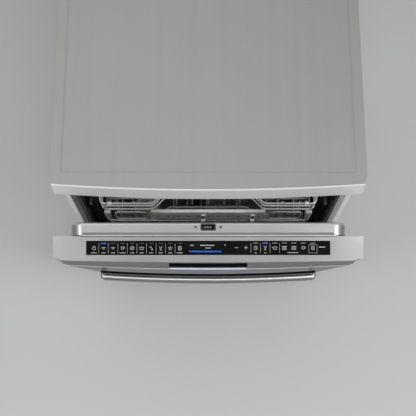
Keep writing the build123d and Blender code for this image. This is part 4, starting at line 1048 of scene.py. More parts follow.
# Behind the band the top is painted darker, the band bright and the rear near black: painted shade
# and highlight.
refinish(handle, handle_top_shade, lambda middle, normal: middle.y > highlight_band_end and normal.z > LEVEL)
refinish(
    handle, band_highlight_metal, lambda middle, normal: highlight_band_start < middle.y < highlight_band_end and normal.z > LEVEL
)
refinish(handle, handle_rear_shade, in_rear_shade)
leg = start_box(
    "handle_leg",
    (handle_inner, END_ROUND, -handle_tall),
    (handle_half - MM, LEG_DEPTH, -ROLL_RADIUS),
)
both_sides(leg)
leg.data.materials.append(door_finish)
handle = join("handle_bar", [handle, leg])
bend_back(handle, bow_radius(handle_half, HANDLE_BOW))
handle.data.transform(Matrix.Translation((0, handle_low.y, handle_high.z)))
round_edges(handle, 0.3 * MM, 2, 50)
stand_for(open_with_door(handle), "handle", "door")
print("handle faces", len(handle.data.polygons), "legs reach", tuple(shut_box("handle")[1]))

# %% [markdown]
# Below the crease sits a small window, and under it one lit line that lies on the slanting steel.
# The face is bowed like the rest of the door, so the line is a thin box that is divided along its
# length, bowed by the same radius, leaned to the slope and moved onto the face.

# %% The lit line under the window
LINE_HALF = 74 * MM
LINE_HEIGHT = 2.4 * MM
LINE_THICK = 0.8 * MM
LINE_UP = 2.4 * MM          # middle of the line above the foot of the slanting face
LINE_CUTS = 16
line_corner = Vector((LINE_HALF, LINE_THICK / 2, LINE_HEIGHT / 2))
line = start_box("window_line", -line_corner, line_corner)
bend_back(divide_along_x(line, LINE_CUTS), door_radius)
round_edges(line, 0.2 * MM)
lean = Matrix.Rotation(-atan2(SLOPE_RUN, SLOPE_RISE), 4, "X")
line_at = Vector((0, head_low.y + SLOPE_RUN * LINE_UP / SLOPE_RISE, slope_foot + LINE_UP))
line.data.transform(Matrix.Translation(line_at) @ lean)
add_to(open_with_door(line), "door", white_lamp)
print("line at", tuple(line_at))

# %% [markdown]
# The touch strip carries one symbol for each programme or option, thin lines between them, and a
# small bar under each in place of its caption. All of these are flat shapes a tenth of a millimetre
# thick, so they are drawn from three strokes: a straight stroke, a ring and a filled disc. Every
# place is counted from the strip's middle, along it and across it.

# %% Strokes for the symbols
INK = 0.12 * MM
STROKE = 0.9 * MM
RING_SIDES = 20
DISC_SIDES = 16
strip_middle = Vector((0, (glass_low.y + glass_high.y) / 2, glass_high.z))
ink = []


def stroke(a, b, width=STROKE):
    """A straight flat stroke from a to b, in millimetres from the strip's middle."""
    a, b = Vector((*a, 0)) * MM, Vector((*b, 0)) * MM
    reach = b - a
    deselect()
    bpy.ops.mesh.primitive_cube_add(
        size=1,
        location=strip_middle + (a + b) / 2,
        rotation=(0, 0, atan2(reach.y, reach.x)),
        scale=(reach.length + width, width, INK),
    )
    ink.append(start("stroke"))


def strokes(*points, width=STROKE):
    """A run of straight strokes."""
    for a, b in zip(points, points[1:]):
        stroke(a, b, width)


def dash(u, v, half, width=STROKE):
    """A level stroke to both sides of a place."""
    stroke((u - half, v), (u + half, v), width)


def outline(u, half, v_a, v_b, width=STROKE):
    """An upright box in outline, from one height to another."""
    left, right = u - half, u + half
    strokes((left, v_a), (left, v_b), (right, v_b), (right, v_a), (left, v_a), width=width)


def ring(u, v, radius, width=STROKE):
    """A flat ring round a place on the strip."""
    deselect()
    place = strip_middle + Vector((u, v, 0)) * MM
    bpy.ops.mesh.primitive_circle_add(vertices=RING_SIDES, radius=radius * MM, location=place)
    ink.append(start("ring"))
    edit_all(ink[-1])
    draw_out((0, 0, 0))
    inner = 1 - width / (radius * MM)
    squeeze((inner, inner, 1), place)
    apply_modifier(ink[-1], "SOLIDIFY", thickness=INK, offset=0)


def disc(u, v, radius):
    """A flat filled disc."""
    place = strip_middle + Vector((u, v, 0)) * MM
    ink.append(start_rod("disc", place, radius * MM, INK, "Z", DISC_SIDES))


def take_ink(name, finish):
    """Join what was drawn so far into one piece of the door."""
    piece = face_outwards(join(name, list(ink)))
    ink.clear()
    add_to(open_with_door(piece), "door", finish)


print("strip's middle", tuple(strip_middle))

# %% [markdown]
# The symbols are the plain pictograms that such machines share: a power mark, plates, a glass, a
# cup, a drop, a star, a clock. Each is a small function that draws at a place, so the row can be
# read as a list.

# %% Symbols
FINE = 0.7 * MM             # width of the finer strokes
FINEST = 0.6 * MM


def power(u, v):
    """A ring with an upright stroke through its top."""
    ring(u, v, 3.6)
    stroke((u, v + 1.4), (u, v + 4.2))


def plate(u, v):
    """A plate seen from above."""
    ring(u, v, 3.8)
    ring(u, v, 1.9, FINEST)


def cup(u, v):
    """A cup with its handle."""
    left_lip, right_lip = (u - 3, v + 2.6), (u + 2.2, v + 2.6)
    strokes(left_lip, (u - 2.2, v - 2.2), (u + 1.4, v - 2.2), right_lip, left_lip)
    ring(u + 3, v + 0.6, 1.6, FINE)


def glass(u, v):
    """A stemmed glass."""
    strokes((u - 2.4, v + 3.6), (u - 1.6, v + 0.4), (u + 1.6, v + 0.4), (u + 2.4, v + 3.6))
    stroke((u, v + 0.4), (u, v - 3.2))
    dash(u, v - 3.4, 2)


def pot(u, v):
    """A pot with two grips."""
    outline(u, 3, v + 2, v - 2.6)
    for side in (-1, 1):
        dash(u + side * 3.8, v + 1, 0.8)


def star(u, v):
    """A five-pointed star in outline."""
    reach = (3.9, 1.7) * 5
    tips = [(u + r * sin(i * pi / 5), v + r * cos(i * pi / 5)) for i, r in enumerate(reach)]
    strokes(*tips, tips[0], width=FINE)


def clock(u, v):
    """A clock face with two hands."""
    ring(u, v, 3.8)
    strokes((u, v + 2.4), (u, v), (u + 1.9, v - 1.0), width=FINE)


def drops(u, v):
    """Two slanting strokes and a drop, for rinsing."""
    stroke((u - 3, v + 3), (u - 1.6, v + 0.4))
    stroke((u - 0.4, v + 3), (u + 1, v + 0.4))
    disc(u + 1.8, v - 2.2, 1.5)


def baskets(u, v):
    """The two racks, one above the other, with the loaded one filled."""
    dash(u, v + 2.2, 3.6, 1.8 * MM)
    outline(u, 3.6, v - 0.6, v - 3)


def page(u, v):
    """A framed sheet with lines."""
    outline(u, 2.6, v + 3.4, v - 3.4)
    for rise in (-1.5, 0.2, 1.9):
        dash(u, v + rise, 1.2, FINEST)


def two_bars(u, v):
    """Two bars of different length, for a short programme."""
    dash(u, v + 1, 3.2, 1.1 * MM)
    dash(u, v - 1.4, 1.8, 0.8 * MM)


left_symbols = (power, two_bars, two_bars, cup, plate, pot, drops, glass, star, page)
right_symbols = (clock, glass, pot, baskets, baskets, cup, page)
print("symbols", len(left_symbols), "and", len(right_symbols))

# %% [markdown]
# The fields have one pitch on both sides of the display. Bars stand in for every caption and every
# word of the display. What is printed, what is lit and what is unlit are three pieces, because each
# has its own material. The heights and lengths are in millimetres from the strip's middle, as
# above.

# %% The touch strip
FIELD_PITCH = 18.25
FIRST_FIELD = -218.5
RIGHT_FIELD = 91
SYMBOL_AT = -0.6
CAPTION_AT = -9.4
LAMP_AT = 9.3
WIDE_CAPTIONS = (0, 3, 9)   # these fields of the left row have a long caption
DIVIDED = 4                 # this many fields of the right row have a line before them
CAPTIONED = 2               # and this many a caption
DIVIDER = 0.5 * MM
WORD_AT = 4.9
WORDS = ((-31, 3), (-12.5, 2.5), (-6.3, 2.3), (0.2, 2.8), (7.7, 3.3))     # middle, half length
BARS = (                    # middle, height, half length, width
    (162, CAPTION_AT + 0.4, 10, 1.1), (218, 1.6, 5, 1.7), (54, 0.4, 3, 0.9), (72.5, 0.4, 3, 0.9),
    (-0.25, -0.2, 4.75, 1.3),
)
left_fields = [FIRST_FIELD + index * FIELD_PITCH for index in range(len(left_symbols))]
right_fields = [RIGHT_FIELD + index * FIELD_PITCH for index in range(len(right_symbols))]


def divider(u, foot):
    """The thin line before a field."""
    edge = u - FIELD_PITCH / 2
    stroke((edge, foot), (edge, LAMP_AT - 1), DIVIDER)


for index, (u, symbol) in enumerate(zip(left_fields, left_symbols)):
    symbol(u, SYMBOL_AT)
    dash(u, CAPTION_AT, 5.2 if index in WIDE_CAPTIONS else 3.2, 1.2 * MM)
    if index > 0:
        divider(u, CAPTION_AT - 1)
for index, (u, symbol) in enumerate(zip(right_fields, right_symbols)):
    symbol(u, SYMBOL_AT + 0.6)
    dash(u, LAMP_AT, 4.4, 0.8 * MM)
    if index < DIVIDED:
        divider(u, CAPTION_AT)
    if index < CAPTIONED:
        dash(u, CAPTION_AT, 1.8, 1.0 * MM)
outline(right_fields[-1], 8, CAPTION_AT, LAMP_AT - 3, DIVIDER)
for u, half in WORDS:
    dash(u, WORD_AT, half, 1.5 * MM)
for u, v, half, width in BARS:
    dash(u, v, half, width * MM)
stroke((72.5, -2.6), (72.5, 3.4))       # the plus sign's upright
disc(32.3, 5.3, 1.2)
# The printed symbols take a painted glow.
take_ink("strip_symbols", symbol_print_painted_glow)
dash(-5.5, -6.8, 29.5, 2.4 * MM)        # the progress line
dash(left_fields[1], LAMP_AT - 0.6, 4, 2.2 * MM)
dash(right_fields[1], LAMP_AT, 4, 2.2 * MM)
take_ink("strip_lamps", blue_lamp)
for u in left_fields[2:]:
    dash(u, LAMP_AT - 0.6, 3.6, 1.2 * MM)
# The unlit lamps take a faint painted glow.
take_ink("strip_unlit_lamps", unlit_print_painted_glow)
print("touch strip drawn")

# %% [markdown]
# The liner's top edge holds the latch opening between two screws. The opening gets a thin black
# collar with round corners, and a steel catch shows inside it.

# %% Latch collar and catch
COLLAR = 1.4 * MM
COLLAR_CORNER = 3 * MM
CATCH_LEFT, CATCH_RIGHT, CATCH_SIDE = 4.5 * MM, 6.5 * MM, 3.4 * MM      # inside the opening
CATCH_TOP, CATCH_FOOT = 2.2 * MM, 6 * MM                                # below its rim
latch_low, latch_high = shut_box("latch_plate")
collar = start_box(
    "latch_collar",
    (latch_low.x - COLLAR, latch_low.y - COLLAR, latch_high.z - COLLAR),
    (latch_high.x + COLLAR, latch_high.y + COLLAR, latch_high.z + 0.5 * MM),
)
bevel_edges(collar, lambda a, b: abs(a.z - b.z) > COLLAR / 2, COLLAR_CORNER, 4)
cut_box(
    collar,
    (latch_low.x + COLLAR, latch_low.y + COLLAR, latch_low.z),
    (latch_high.x - COLLAR, latch_high.y - COLLAR, latch_high.z + COLLAR),
)
round_edges(collar, 0.25 * MM)
add_to(open_with_door(collar), "door", black_plastic)
catch = start_box(
    "latch_catch",
    (latch_low.x + CATCH_LEFT, latch_low.y + CATCH_SIDE, latch_high.z - CATCH_FOOT),
    (latch_high.x - CATCH_RIGHT, latch_high.y - CATCH_SIDE, latch_high.z - CATCH_TOP),
)
round_edges(catch, 0.8 * MM, 3)
add_to(open_with_door(catch), "door", screw_metal)
print("latch", tuple(latch_low), tuple(latch_high))

# %% [markdown]
# A screw is modelled as a round head with a small recess. Its places come from the frame: a copy of
# the node that holds the screws is split into its loose solids, and a screw is set at the middle of
# each, turned the way that its sheet faces.

# %% Screws
SCREW_RADIUS = 2.7 * MM
SCREW_HEAD = 2 * MM
RECESS_RIM = 1.3 * MM
RECESS_DEPTH = 1.2 * MM
LINER_TOP = 40 * MM         # screws nearer than this to the head's top look up


def loose_boxes(node):
    """The lowest and highest corners of each separate solid of a node."""
    edit_all(merged(node))
    bpy.ops.mesh.separate(type="LOOSE")
    done()
    boxes = []
    for part in list(bpy.context.selected_objects):
        boxes.append(corners([vertex.co for vertex in part.data.vertices]))
        bpy.data.objects.remove(part)
    return boxes


def screw(centre, turn):
    """A round-headed screw with a recess, whose axis is turned from +Z."""
    piece = start_rod("screw", (0, 0, 0), SCREW_RADIUS, SCREW_HEAD, "Z", 20)
    pick_faces(piece, lambda middle, normal: normal.z > FACING)
    bpy.ops.mesh.inset(thickness=RECESS_RIM)
    draw_out((0, 0, -RECESS_DEPTH))
    done()
    round_edges(piece, 0.35 * MM)
    piece.data.transform(Matrix.Translation(centre) @ turn)
    return piece


def screws(node, body, turn_of):
    """Copies of the screw wherever the frame has one."""
    heads = [screw((low + high) / 2, turn_of(low)) for low, high in loose_boxes(node)]
    stand_for(join(node + "_heads", heads), node, body, screw_metal)


TO_BACK = Matrix.Rotation(-pi / 2, 4, "X")
TO_FRONT = Matrix.Rotation(pi / 2, 4, "X")
liner_top = head_high.z - LINER_TOP
machine_middle_y = (frame_box[0][1] + frame_box[1][1]) / 2
screws("door_screws", "door", lambda low: door_turn if low.z > liner_top else door_turn @ TO_BACK)
screws("cabinet_screws", "cabinet", lambda low: TO_BACK if low.y > machine_middle_y else TO_FRONT)
print("screws set")

# %% [markdown]
# The upper rack is welded wire: rims that run all round it at three heights, and U-shaped wires
# that go down one side, across the floor and up the other. Its front steps back in the middle
# behind the grip. One wire of each kind is bent, then repeated along the rack and mirrored to the
# other side.

# %% Upper rack wires
RIM = 2 * MM                # radius of the rims' wire
THIN = 1.5 * MM             # radius of the thinner wires
RIM_BEND = 12 * MM
RIM_SPLIT = 119 * MM
RECESS = 30 * MM
WIRE_PITCH = 36 * MM
CROSS_PITCH = 52 * MM
CROSS_FIRST = 50 * MM       # behind the rack's front
POST_IN, POST_AHEAD = 7 * MM, 1 * MM
RIM_BELOW_TOP = (2 * MM, 20 * MM, 46 * MM)
rack_low, rack_high = node_box("upper_rack")
side_x = rack_high.x - RIM
front_y, rear_y = rack_low.y + RIM, rack_high.y - RIM
floor_z, top_z = rack_low.z + RIM, rack_high.z - RIM
inset = RIM + THIN


def rim_path(z):
    """The rack's outline in plan, with its front stepped back in the middle."""
    step_x, step_y = RIM_SPLIT - RECESS, front_y + RECESS
    return [
        (-RIM_SPLIT, front_y, z), (-step_x, step_y, z), (step_x, step_y, z),
        (RIM_SPLIT, front_y, z), (side_x, front_y, z), (side_x, rear_y, z),
        (-side_x, rear_y, z), (-side_x, front_y, z),
    ]


def u_wire(name, x, first_y):
    """A wire that goes down the front, across the floor and up the rear."""
    z, last_y = floor_z + inset, rear_y - inset
    path = [(x, first_y, top_z), (x, first_y, z), (x, last_y, z), (x, last_y, top_z)]
    return wire(name, path, THIN)


rack_parts = [
    wire("rim", rim_path(z), RIM, RIM_BEND, closed=True)
    for z in (*(rack_high.z - below for below in RIM_BELOW_TOP), floor_z)
]
outer = u_wire("outer_u", side_x - WIRE_PITCH, front_y + inset)
inner = u_wire("inner_u", 2 * WIRE_PITCH, front_y + RECESS + inset)
rack_parts.append(both_sides(repeat(outer, 3, (-WIRE_PITCH, 0, 0))))
rack_parts.append(repeat(inner, 5, (-WIRE_PITCH, 0, 0)))
across_x, cross_y = side_x - inset, front_y + CROSS_FIRST
across = [
    (across_x, cross_y, top_z), (across_x, cross_y, floor_z),
    (-across_x, cross_y, floor_z), (-across_x, cross_y, top_z),
]
rack_parts.append(repeat(wire("cross_u", across, THIN), 8, (0, CROSS_PITCH, 0)))
post_x, post_y = side_x - POST_IN, front_y - POST_AHEAD
corner_post = wire("corner_post", [(post_x, post_y, top_z), (post_x, post_y, floor_z)], THIN)
rack_parts.append(both_sides(corner_post))
print("upper rack wires", len(rack_parts))

# %% [markdown]
# A flat closed loop of wire stands before each front corner of the rack. With it the rack is
# complete, and all of its wires are joined into the one piece that stands for the frame's node.

# %% Loops at the rack's front corners
LOOP_X = (134 * MM, 203 * MM)
LOOP_Z = (521 * MM, 576 * MM)
loop_y = front_y - RIM - THIN
loop = [
    (LOOP_X[0], loop_y, LOOP_Z[0]), (LOOP_X[1], loop_y, LOOP_Z[0]),
    (LOOP_X[1], loop_y, LOOP_Z[1]), (LOOP_X[0], loop_y, LOOP_Z[1]),
]
rack_parts.append(both_sides(wire("front_loop", loop, THIN, closed=True)))
upper_rack = join("upper_rack_wires", rack_parts)
stand_for(upper_rack, "upper_rack", "upper_rack", wire_finish)
print("upper rack faces", len(upper_rack.data.polygons))

# %% [markdown]
# In front of the recess a polished grip bar spans the rack, and a punched steel strip hangs below
# it. The bar is a rod with a flat along its top, the strip a thin plate with a row of upright
# holes. One hole's cutter is repeated along the strip, so all the holes are cut at once. A black
# sheet just behind the strip is painted shade, which makes the holes look dark.

# %% Grip and strip
GRIP_RADIUS = 4.5 * MM
GRIP_HALF = 124 * MM
FACET = 0.78                # the flat of the grip lies at this share of its radius
FACET_LEAN = radians(13)
STRIP_HEIGHT = 46 * MM
STRIP_THICK = 1 * MM
HOLE_FIRST, HOLE_PITCH, HOLES = -110.7 * MM, 22.2 * MM, 11
HOLE_RADIUS = 2.0 * MM
HOLE_STRETCH = 3.4
SEAM_X = -76 * MM
SEAM_HALF = 0.6 * MM
SEAM_END = 3 * MM           # from the strip's edges
SHADE_SHEET_GAP, SHADE_SHEET_THICK = 0.6 * MM, 1.2 * MM
grip_low, grip_high = node_box("upper_rack_grip")
grip_at = Vector((0, grip_low.y + GRIP_RADIUS, grip_high.z - GRIP_RADIUS))
strip_top = grip_low.z + STRIP_HEIGHT
strip_y = grip_high.y - STRIP_THICK
hole_z = (grip_low.z + strip_top) / 2
strip = start_box(
    "punched_strip", (grip_low.x, strip_y, grip_low.z), (grip_high.x, grip_high.y, strip_top)
)
punch = start_rod("punch", (HOLE_FIRST, strip_y, hole_z), HOLE_RADIUS, 6 * MM, "Y", 16)
edit_all(punch)
squeeze((1, 1, HOLE_STRETCH), (0, 0, hole_z))
cut_away(strip, repeat(punch, HOLES, (HOLE_PITCH, 0, 0)))
cut_box(
    strip,
    (SEAM_X - SEAM_HALF, strip_y - MM, grip_low.z + SEAM_END),
    (SEAM_X + SEAM_HALF, grip_high.y + MM, strip_top - SEAM_END),
)
round_edges(strip, 0.2 * MM)
# Painted shade: a black sheet behind the strip, so that its holes look dark.
shade_sheet_y = grip_high.y + SHADE_SHEET_GAP
shade_sheet = start_box(
    "strip_shade_sheet",
    (grip_low.x + MM, shade_sheet_y, grip_low.z + MM),
    (grip_high.x - MM, shade_sheet_y + SHADE_SHEET_THICK, strip_top - 2 * MM),
)
add_to(round_edges(shade_sheet, 0.3 * MM), "upper_rack", black_plastic)
post = start_box(
    "grip_post",
    (GRIP_HALF - GRIP_RADIUS, grip_at.y, strip_top - MM),
    (GRIP_HALF, grip_high.y, grip_at.z),
)
both_sides(round_edges(post, 0.5 * MM))
bar = start_rod("grip_bar", grip_at, GRIP_RADIUS, 2 * GRIP_HALF, "X", 32)
facet_normal = Vector((0, -sin(FACET_LEAN), cos(FACET_LEAN)))
edit_all(bar)
bpy.ops.mesh.bisect(
    plane_co=grip_at + facet_normal * GRIP_RADIUS * FACET,
    plane_no=facet_normal,
    use_fill=True,
    clear_outer=True,
)
done()
round_edges(bar, 0.3 * MM)
for piece, finish in ((strip, strip_metal), (post, strip_metal), (bar, grip_metal)):
    finish_with(piece, finish)
stand_for(join("grip_and_strip", [strip, post, bar]), "upper_rack_grip", "upper_rack")
print("grip", tuple(grip_low), tuple(grip_high))

# %% [markdown]
# Two dark knobs in light collars stand out from the strip, with a white tab under each. A thin wire
# runs along the strip's foot.

# %% Studs, tabs and foot wire
STUD_X = (-11 * MM, 98 * MM)
STUD_Z = 546 * MM
COLLAR_RADIUS, COLLAR_DEPTH = 5.6 * MM, 3 * MM
KNOB_RADIUS, KNOB_DEPTH = 3.7 * MM, 7 * MM
KNOB_AHEAD = 4 * MM         # its middle before the strip
TAB_HALF, TAB_DEPTH = 4.6 * MM, 7.5 * MM
TAB_Z = (6 * MM, 10 * MM)   # above the strip's foot
FOOT_HALF = 205 * MM
FOOT_DROP, FOOT_AHEAD = 3 * MM, 2 * MM
collars, knobs, tabs = [], [], []
for x in STUD_X:
    centre = (x, strip_y - COLLAR_DEPTH / 2, STUD_Z)
    collars.append(start_rod("collar", centre, COLLAR_RADIUS, COLLAR_DEPTH, "Y"))
    round_edges(collars[-1], 0.7 * MM, 3)
    knobs.append(start_rod("knob", (x, strip_y - KNOB_AHEAD, STUD_Z), KNOB_RADIUS, KNOB_DEPTH, "Y"))
    round_edges(knobs[-1], 1.2 * MM, 3)
    tab = start_box(
        "tab",
        (x - TAB_HALF, strip_y - TAB_DEPTH, grip_low.z + TAB_Z[0]),
        (x + TAB_HALF, strip_y - 0.2 * MM, grip_low.z + TAB_Z[1]),
    )
    tabs.append(round_edges(tab, 0.8 * MM, 3))
add_to(join("strip_collars", collars), "upper_rack", white_edge)
add_to(join("strip_knobs", knobs), "upper_rack", black_plastic)
add_to(join("strip_tabs", tabs), "upper_rack", white_edge)
foot_y, foot_z = strip_y - FOOT_AHEAD, grip_low.z - FOOT_DROP
foot = wire("strip_foot_wire", [(-FOOT_HALF, foot_y, foot_z), (FOOT_HALF, foot_y, foot_z)], THIN)
add_to(foot, "upper_rack", wire_finish)
print("studs at", STUD_X, "foot wire at", foot_z)

# %% [markdown]
# A moulded lattice fills each corner loop, and the cutlery basket further down is one too. A
# lattice starts as a sheet that is cut into a grid. Every cell is inset and its middle deleted, and
# the bars that are left are given their thickness.

# %% Lattices, and the corner panels
PANEL_MARGIN = 2 * MM
PANEL_BAR = 3 * MM
PANEL_THICK = 1.6 * MM
PANEL_CUTS = (4, 1, 2)      # cells along X, Y and Z


def grid_cut(piece, low, high, cuts):
    """Cut a piece into a number of cells along each axis."""
    for axis, cells in enumerate(cuts):
        normal = [float(axis == other) for other in range(3)]
        for cut in range(1, cells):
            cross_cut(piece, low.lerp(high, cut / cells), normal)


def open_cells(piece, bar, test=lambda middle, normal: True):
    """Leave only a bar round each picked cell."""
    pick_faces(piece, test)
    bpy.ops.mesh.inset(thickness=bar, use_individual=True)
    bpy.ops.mesh.delete(type="FACE")
    done()


panel_low = Vector((LOOP_X[0], loop_y, LOOP_Z[0])) + PANEL_MARGIN * Vector((1, 1, 1))
panel_high = Vector((LOOP_X[1], loop_y, LOOP_Z[1])) + PANEL_MARGIN * Vector((-1, 2, -1))
panel = start_box("corner_lattice", panel_low, panel_high)
pick_faces(panel, lambda middle, normal: normal.y > -FACING)
bpy.ops.mesh.delete(type="FACE")
done()
grid_cut(panel, panel_low, panel_high, PANEL_CUTS)
open_cells(panel, PANEL_BAR)
apply_modifier(panel, "SOLIDIFY", thickness=PANEL_THICK, offset=0)
add_to(both_sides(panel), "upper_rack", grey_rubber)
print("corner panel faces", len(panel.data.polygons))

# %% [markdown]
# Each front corner of the rack ends in a blue-grey plastic piece, which guides it on its rail, and
# a small white clip sits on the rim above. The corner piece is a box whose lower end is drawn in.

# %% Corner pieces and clips
END_X = (212 * MM, 226 * MM)
END_Z = (510 * MM, 578 * MM)
END_Y = (-7 * MM, 1 * MM)   # from the rack's front
DRAWN_IN = (0.5, 0.7, 1)    # the lower end's size against the upper one's
CLIP_X = (204 * MM, 213 * MM)
CLIP_HALF = 3 * MM
CLIP_Z = (-3 * MM, 4 * MM)  # from the upper rim
CLIP_RIM = 1.5 * MM
end = start_box(
    "rack_end",
    (END_X[0], front_y + END_Y[0], END_Z[0]),
    (END_X[1], front_y + END_Y[1], END_Z[1]),
)
pick_faces(end, lambda middle, normal: normal.z < -FACING)
squeeze(DRAWN_IN, (END_X[1] - 2 * MM, front_y, END_Z[0]))
round_edges(end, 1.2 * MM, 3)
add_to(both_sides(end), "upper_rack", corner_plastic)
clip = start_box(
    "rim_clip",
    (CLIP_X[0], front_y - CLIP_HALF, top_z + CLIP_Z[0]),
    (CLIP_X[1], front_y + CLIP_HALF, top_z + CLIP_Z[1]),
)
pick_faces(clip, lambda middle, normal: normal.z > FACING)
bpy.ops.mesh.inset(thickness=CLIP_RIM)
done()
round_edges(clip, 0.8 * MM, 3)
add_to(both_sides(clip), "upper_rack", white_plastic)
print("corner pieces at", END_X, "clips at", CLIP_X)

# %% [markdown]
# A fold-down shelf hangs at each side of the rack. It is a closed wire frame with upright wires and
# a rail half way up, made to the size of the frame's node. The levers, runners, rails and spray
# arms have the right shape already.

# %% Cup shelves, levers, runners and rails
SHELF_BEND = 14 * MM
SHELF_GAPS = 8


def shelf(node, body):
    """A fold-down shelf: a closed wire frame with a row of upright wires."""
    low, high = node_box(node)
    x = (low.x + high.x) / 2
    y0, y1, z0, z1 = low.y + RIM, high.y - RIM, low.z + RIM, high.z - RIM
    loop = [(x, y0, z0), (x, y1, z0), (x, y1, z1), (x, y0, z1)]
    frame_wire = wire("shelf_frame", loop, RIM, SHELF_BEND, closed=True)
    step = (y1 - y0) / SHELF_GAPS
    first = wire("shelf_bar", [(x, y0 + step, z0), (x, y0 + step, z1)], THIN)
    bars = repeat(first, SHELF_GAPS - 1, (0, step, 0))
    middle = (z0 + z1) / 2
    rail = wire("shelf_rail", [(x, y0, middle), (x, y1, middle)], THIN)
    stand_for(join(node + "_wires", [frame_wire, bars, rail]), node, body, wire_finish)


for side in ("left", "right"):
    shelf(side + "_cup_shelf", side + "_shelf")
# The levers and runners are painted near black, as painted shade.
for side in ("left", "right"):
    dress(side + "_lift_lever", side + "_lever", shade_dark_plastic, 1.0 * MM, 3)
dress("upper_rack_runners", "upper_rack", shade_dark_plastic, 1.2 * MM, 3)
dress("upper_rails", "cabinet", polished, 0.8 * MM, 3)
dress("spray_feed_tube", "upper_rack", grey_plastic, 2.0 * MM, 3)
dress("upper_spray_arm", "upper_arm", grey_plastic, 1.6 * MM, 3, 60)
dress("lower_spray_arm", "lower_arm", grey_plastic, 1.6 * MM, 3, 60)
print("upper rack dressed")

# %% [markdown]
# The lower rack is built the same way, with a front that is lower than its sides so that plates can
# be reached.

# %% Lower rack wires
FRONT_TOP = 142 * MM        # above the rack's floor
FLOOR_UP = 11 * MM          # above the wheels' axles
SLOPE = 45 * MM
LOWER_BEND = 14 * MM
RING_PITCH = 48 * MM
LONG_PITCH = 1.01 * WIRE_PITCH
SHORT_FIRST, SHORT_PITCH = 60 * MM, 50 * MM
lower_x = 236 * MM          # from the machine's middle to the rack's sides
lower_low, lower_high = node_box("lower_rack")
low_front, low_rear = lower_low.y + RIM, lower_high.y - RIM
low_top = lower_high.z - RIM
wheel_low, wheel_high = node_box("front_rack_wheels")
axle_z = (wheel_low.z + wheel_high.z) / 2
low_floor = axle_z + FLOOR_UP
front_top = low_floor + FRONT_TOP
top_path = [
    (-lower_x, low_front, front_top), (lower_x, low_front, front_top),
    (lower_x, low_front + SLOPE, low_top), (lower_x, low_rear, low_top),
    (-lower_x, low_rear, low_top), (-lower_x, low_front + SLOPE, low_top),
]
lower_parts = [wire("top_rim", top_path, RIM, LOWER_BEND, closed=True)]
for index in range(3):
    z = low_floor + index * RING_PITCH
    ring_path = [
        (-lower_x, low_front, z), (lower_x, low_front, z),
        (lower_x, low_rear, z), (-lower_x, low_rear, z),
    ]
    lower_parts.append(wire("ring", ring_path, RIM, LOWER_BEND, closed=True))
long_x, long_z = lower_x - WIRE_PITCH, low_floor + inset
long_path = [
    (long_x, low_front + inset, front_top), (long_x, low_front + inset, long_z),
    (long_x, low_rear - inset, long_z), (long_x, low_rear - inset, low_top),
]
lower_parts.append(repeat(wire("long_u", long_path, THIN), 12, (-LONG_PITCH, 0, 0)))
short_x, short_y = lower_x - inset, low_front + SHORT_FIRST
short_path = [
    (short_x, short_y, low_top), (short_x, short_y, low_floor),
    (-short_x, short_y, low_floor), (-short_x, short_y, low_top),
]
lower_parts.append(repeat(wire("short_u", short_path, THIN), 8, (0, SHORT_PITCH, 0)))
print("lower rack box", tuple(lower_low), tuple(lower_high))

# %% [markdown]
# The rack runs on four wheels. An axle and a hanger at each corner are part of the rack. A wheel
# starts as a short rod whose two faces are inset and pushed in twice, which leaves a rim, a dish
# and a hub.

# %% Axles and wheels
AXLE_RADIUS, AXLE_LENGTH = 3 * MM, 25 * MM
AXLE_OUT = 8 * MM           # its middle outside the rack's side
HANGER_X = (-3 * MM, 1 * MM)
HANGER_HALF = 6 * MM
HANGER_DROP = 4 * MM
WHEEL_WIDTH = 9 * MM
WHEEL_INSETS = ((2.5, 0), (0.3, -1.6), (4.5, 0), (0.3, 1.6))    # width and depth, millimetres
for node in ("front_rack_wheels", "rear_rack_wheels"):
    low, high = node_box(node)
    y = (low.y + high.y) / 2
    axle = start_rod("axle", (lower_x + AXLE_OUT, y, axle_z), AXLE_RADIUS, AXLE_LENGTH, "X", 16)
    lower_parts.append(both_sides(round_edges(axle, 0.8 * MM)))
    hanger = start_box(
        "hanger",
        (lower_x + HANGER_X[0], y - HANGER_HALF, axle_z - HANGER_DROP),
        (lower_x + HANGER_X[1], y + HANGER_HALF, low_floor),
    )
    lower_parts.append(both_sides(round_edges(hanger, 0.8 * MM)))
lower_rack = join("lower_rack_wires", lower_parts)
stand_for(lower_rack, "lower_rack", "lower_rack", wire_finish)


def wheels(node, body):
    """A pair of wheels with a rim, a dished face and a hub."""
    low, high = node_box(node)
    centre = Vector((high.x - WHEEL_WIDTH / 2, (low.y + high.y) / 2, axle_z))
    wheel = start_rod("wheel", centre, (high.z - low.z) / 2, WHEEL_WIDTH, "X", 32)
    pick_faces(wheel, lambda middle, normal: abs(normal.x) > FACING)
    for width, depth in WHEEL_INSETS:
        bpy.ops.mesh.inset(thickness=width * MM, depth=depth * MM, use_individual=True)
    done()
    round_edges(wheel, 0.5 * MM)
    stand_for(both_sides(wheel), node, body, grey_plastic)
    print(node, tuple(low), tuple(high))


wheels("front_rack_wheels", "front_wheels")
wheels("rear_rack_wheels", "rear_wheels")
print("lower rack faces", len(lower_rack.data.polygons))

# %% [markdown]
# Each tine row is one base wire with a row of upright rods whose tips are round, so that plates
# slide in.

# %% Tines
TINES = 16
TINE_MARGIN = 12.5 * MM     # from the base wire's ends to the outer tines
TINE_TIP = 1.6 * MM


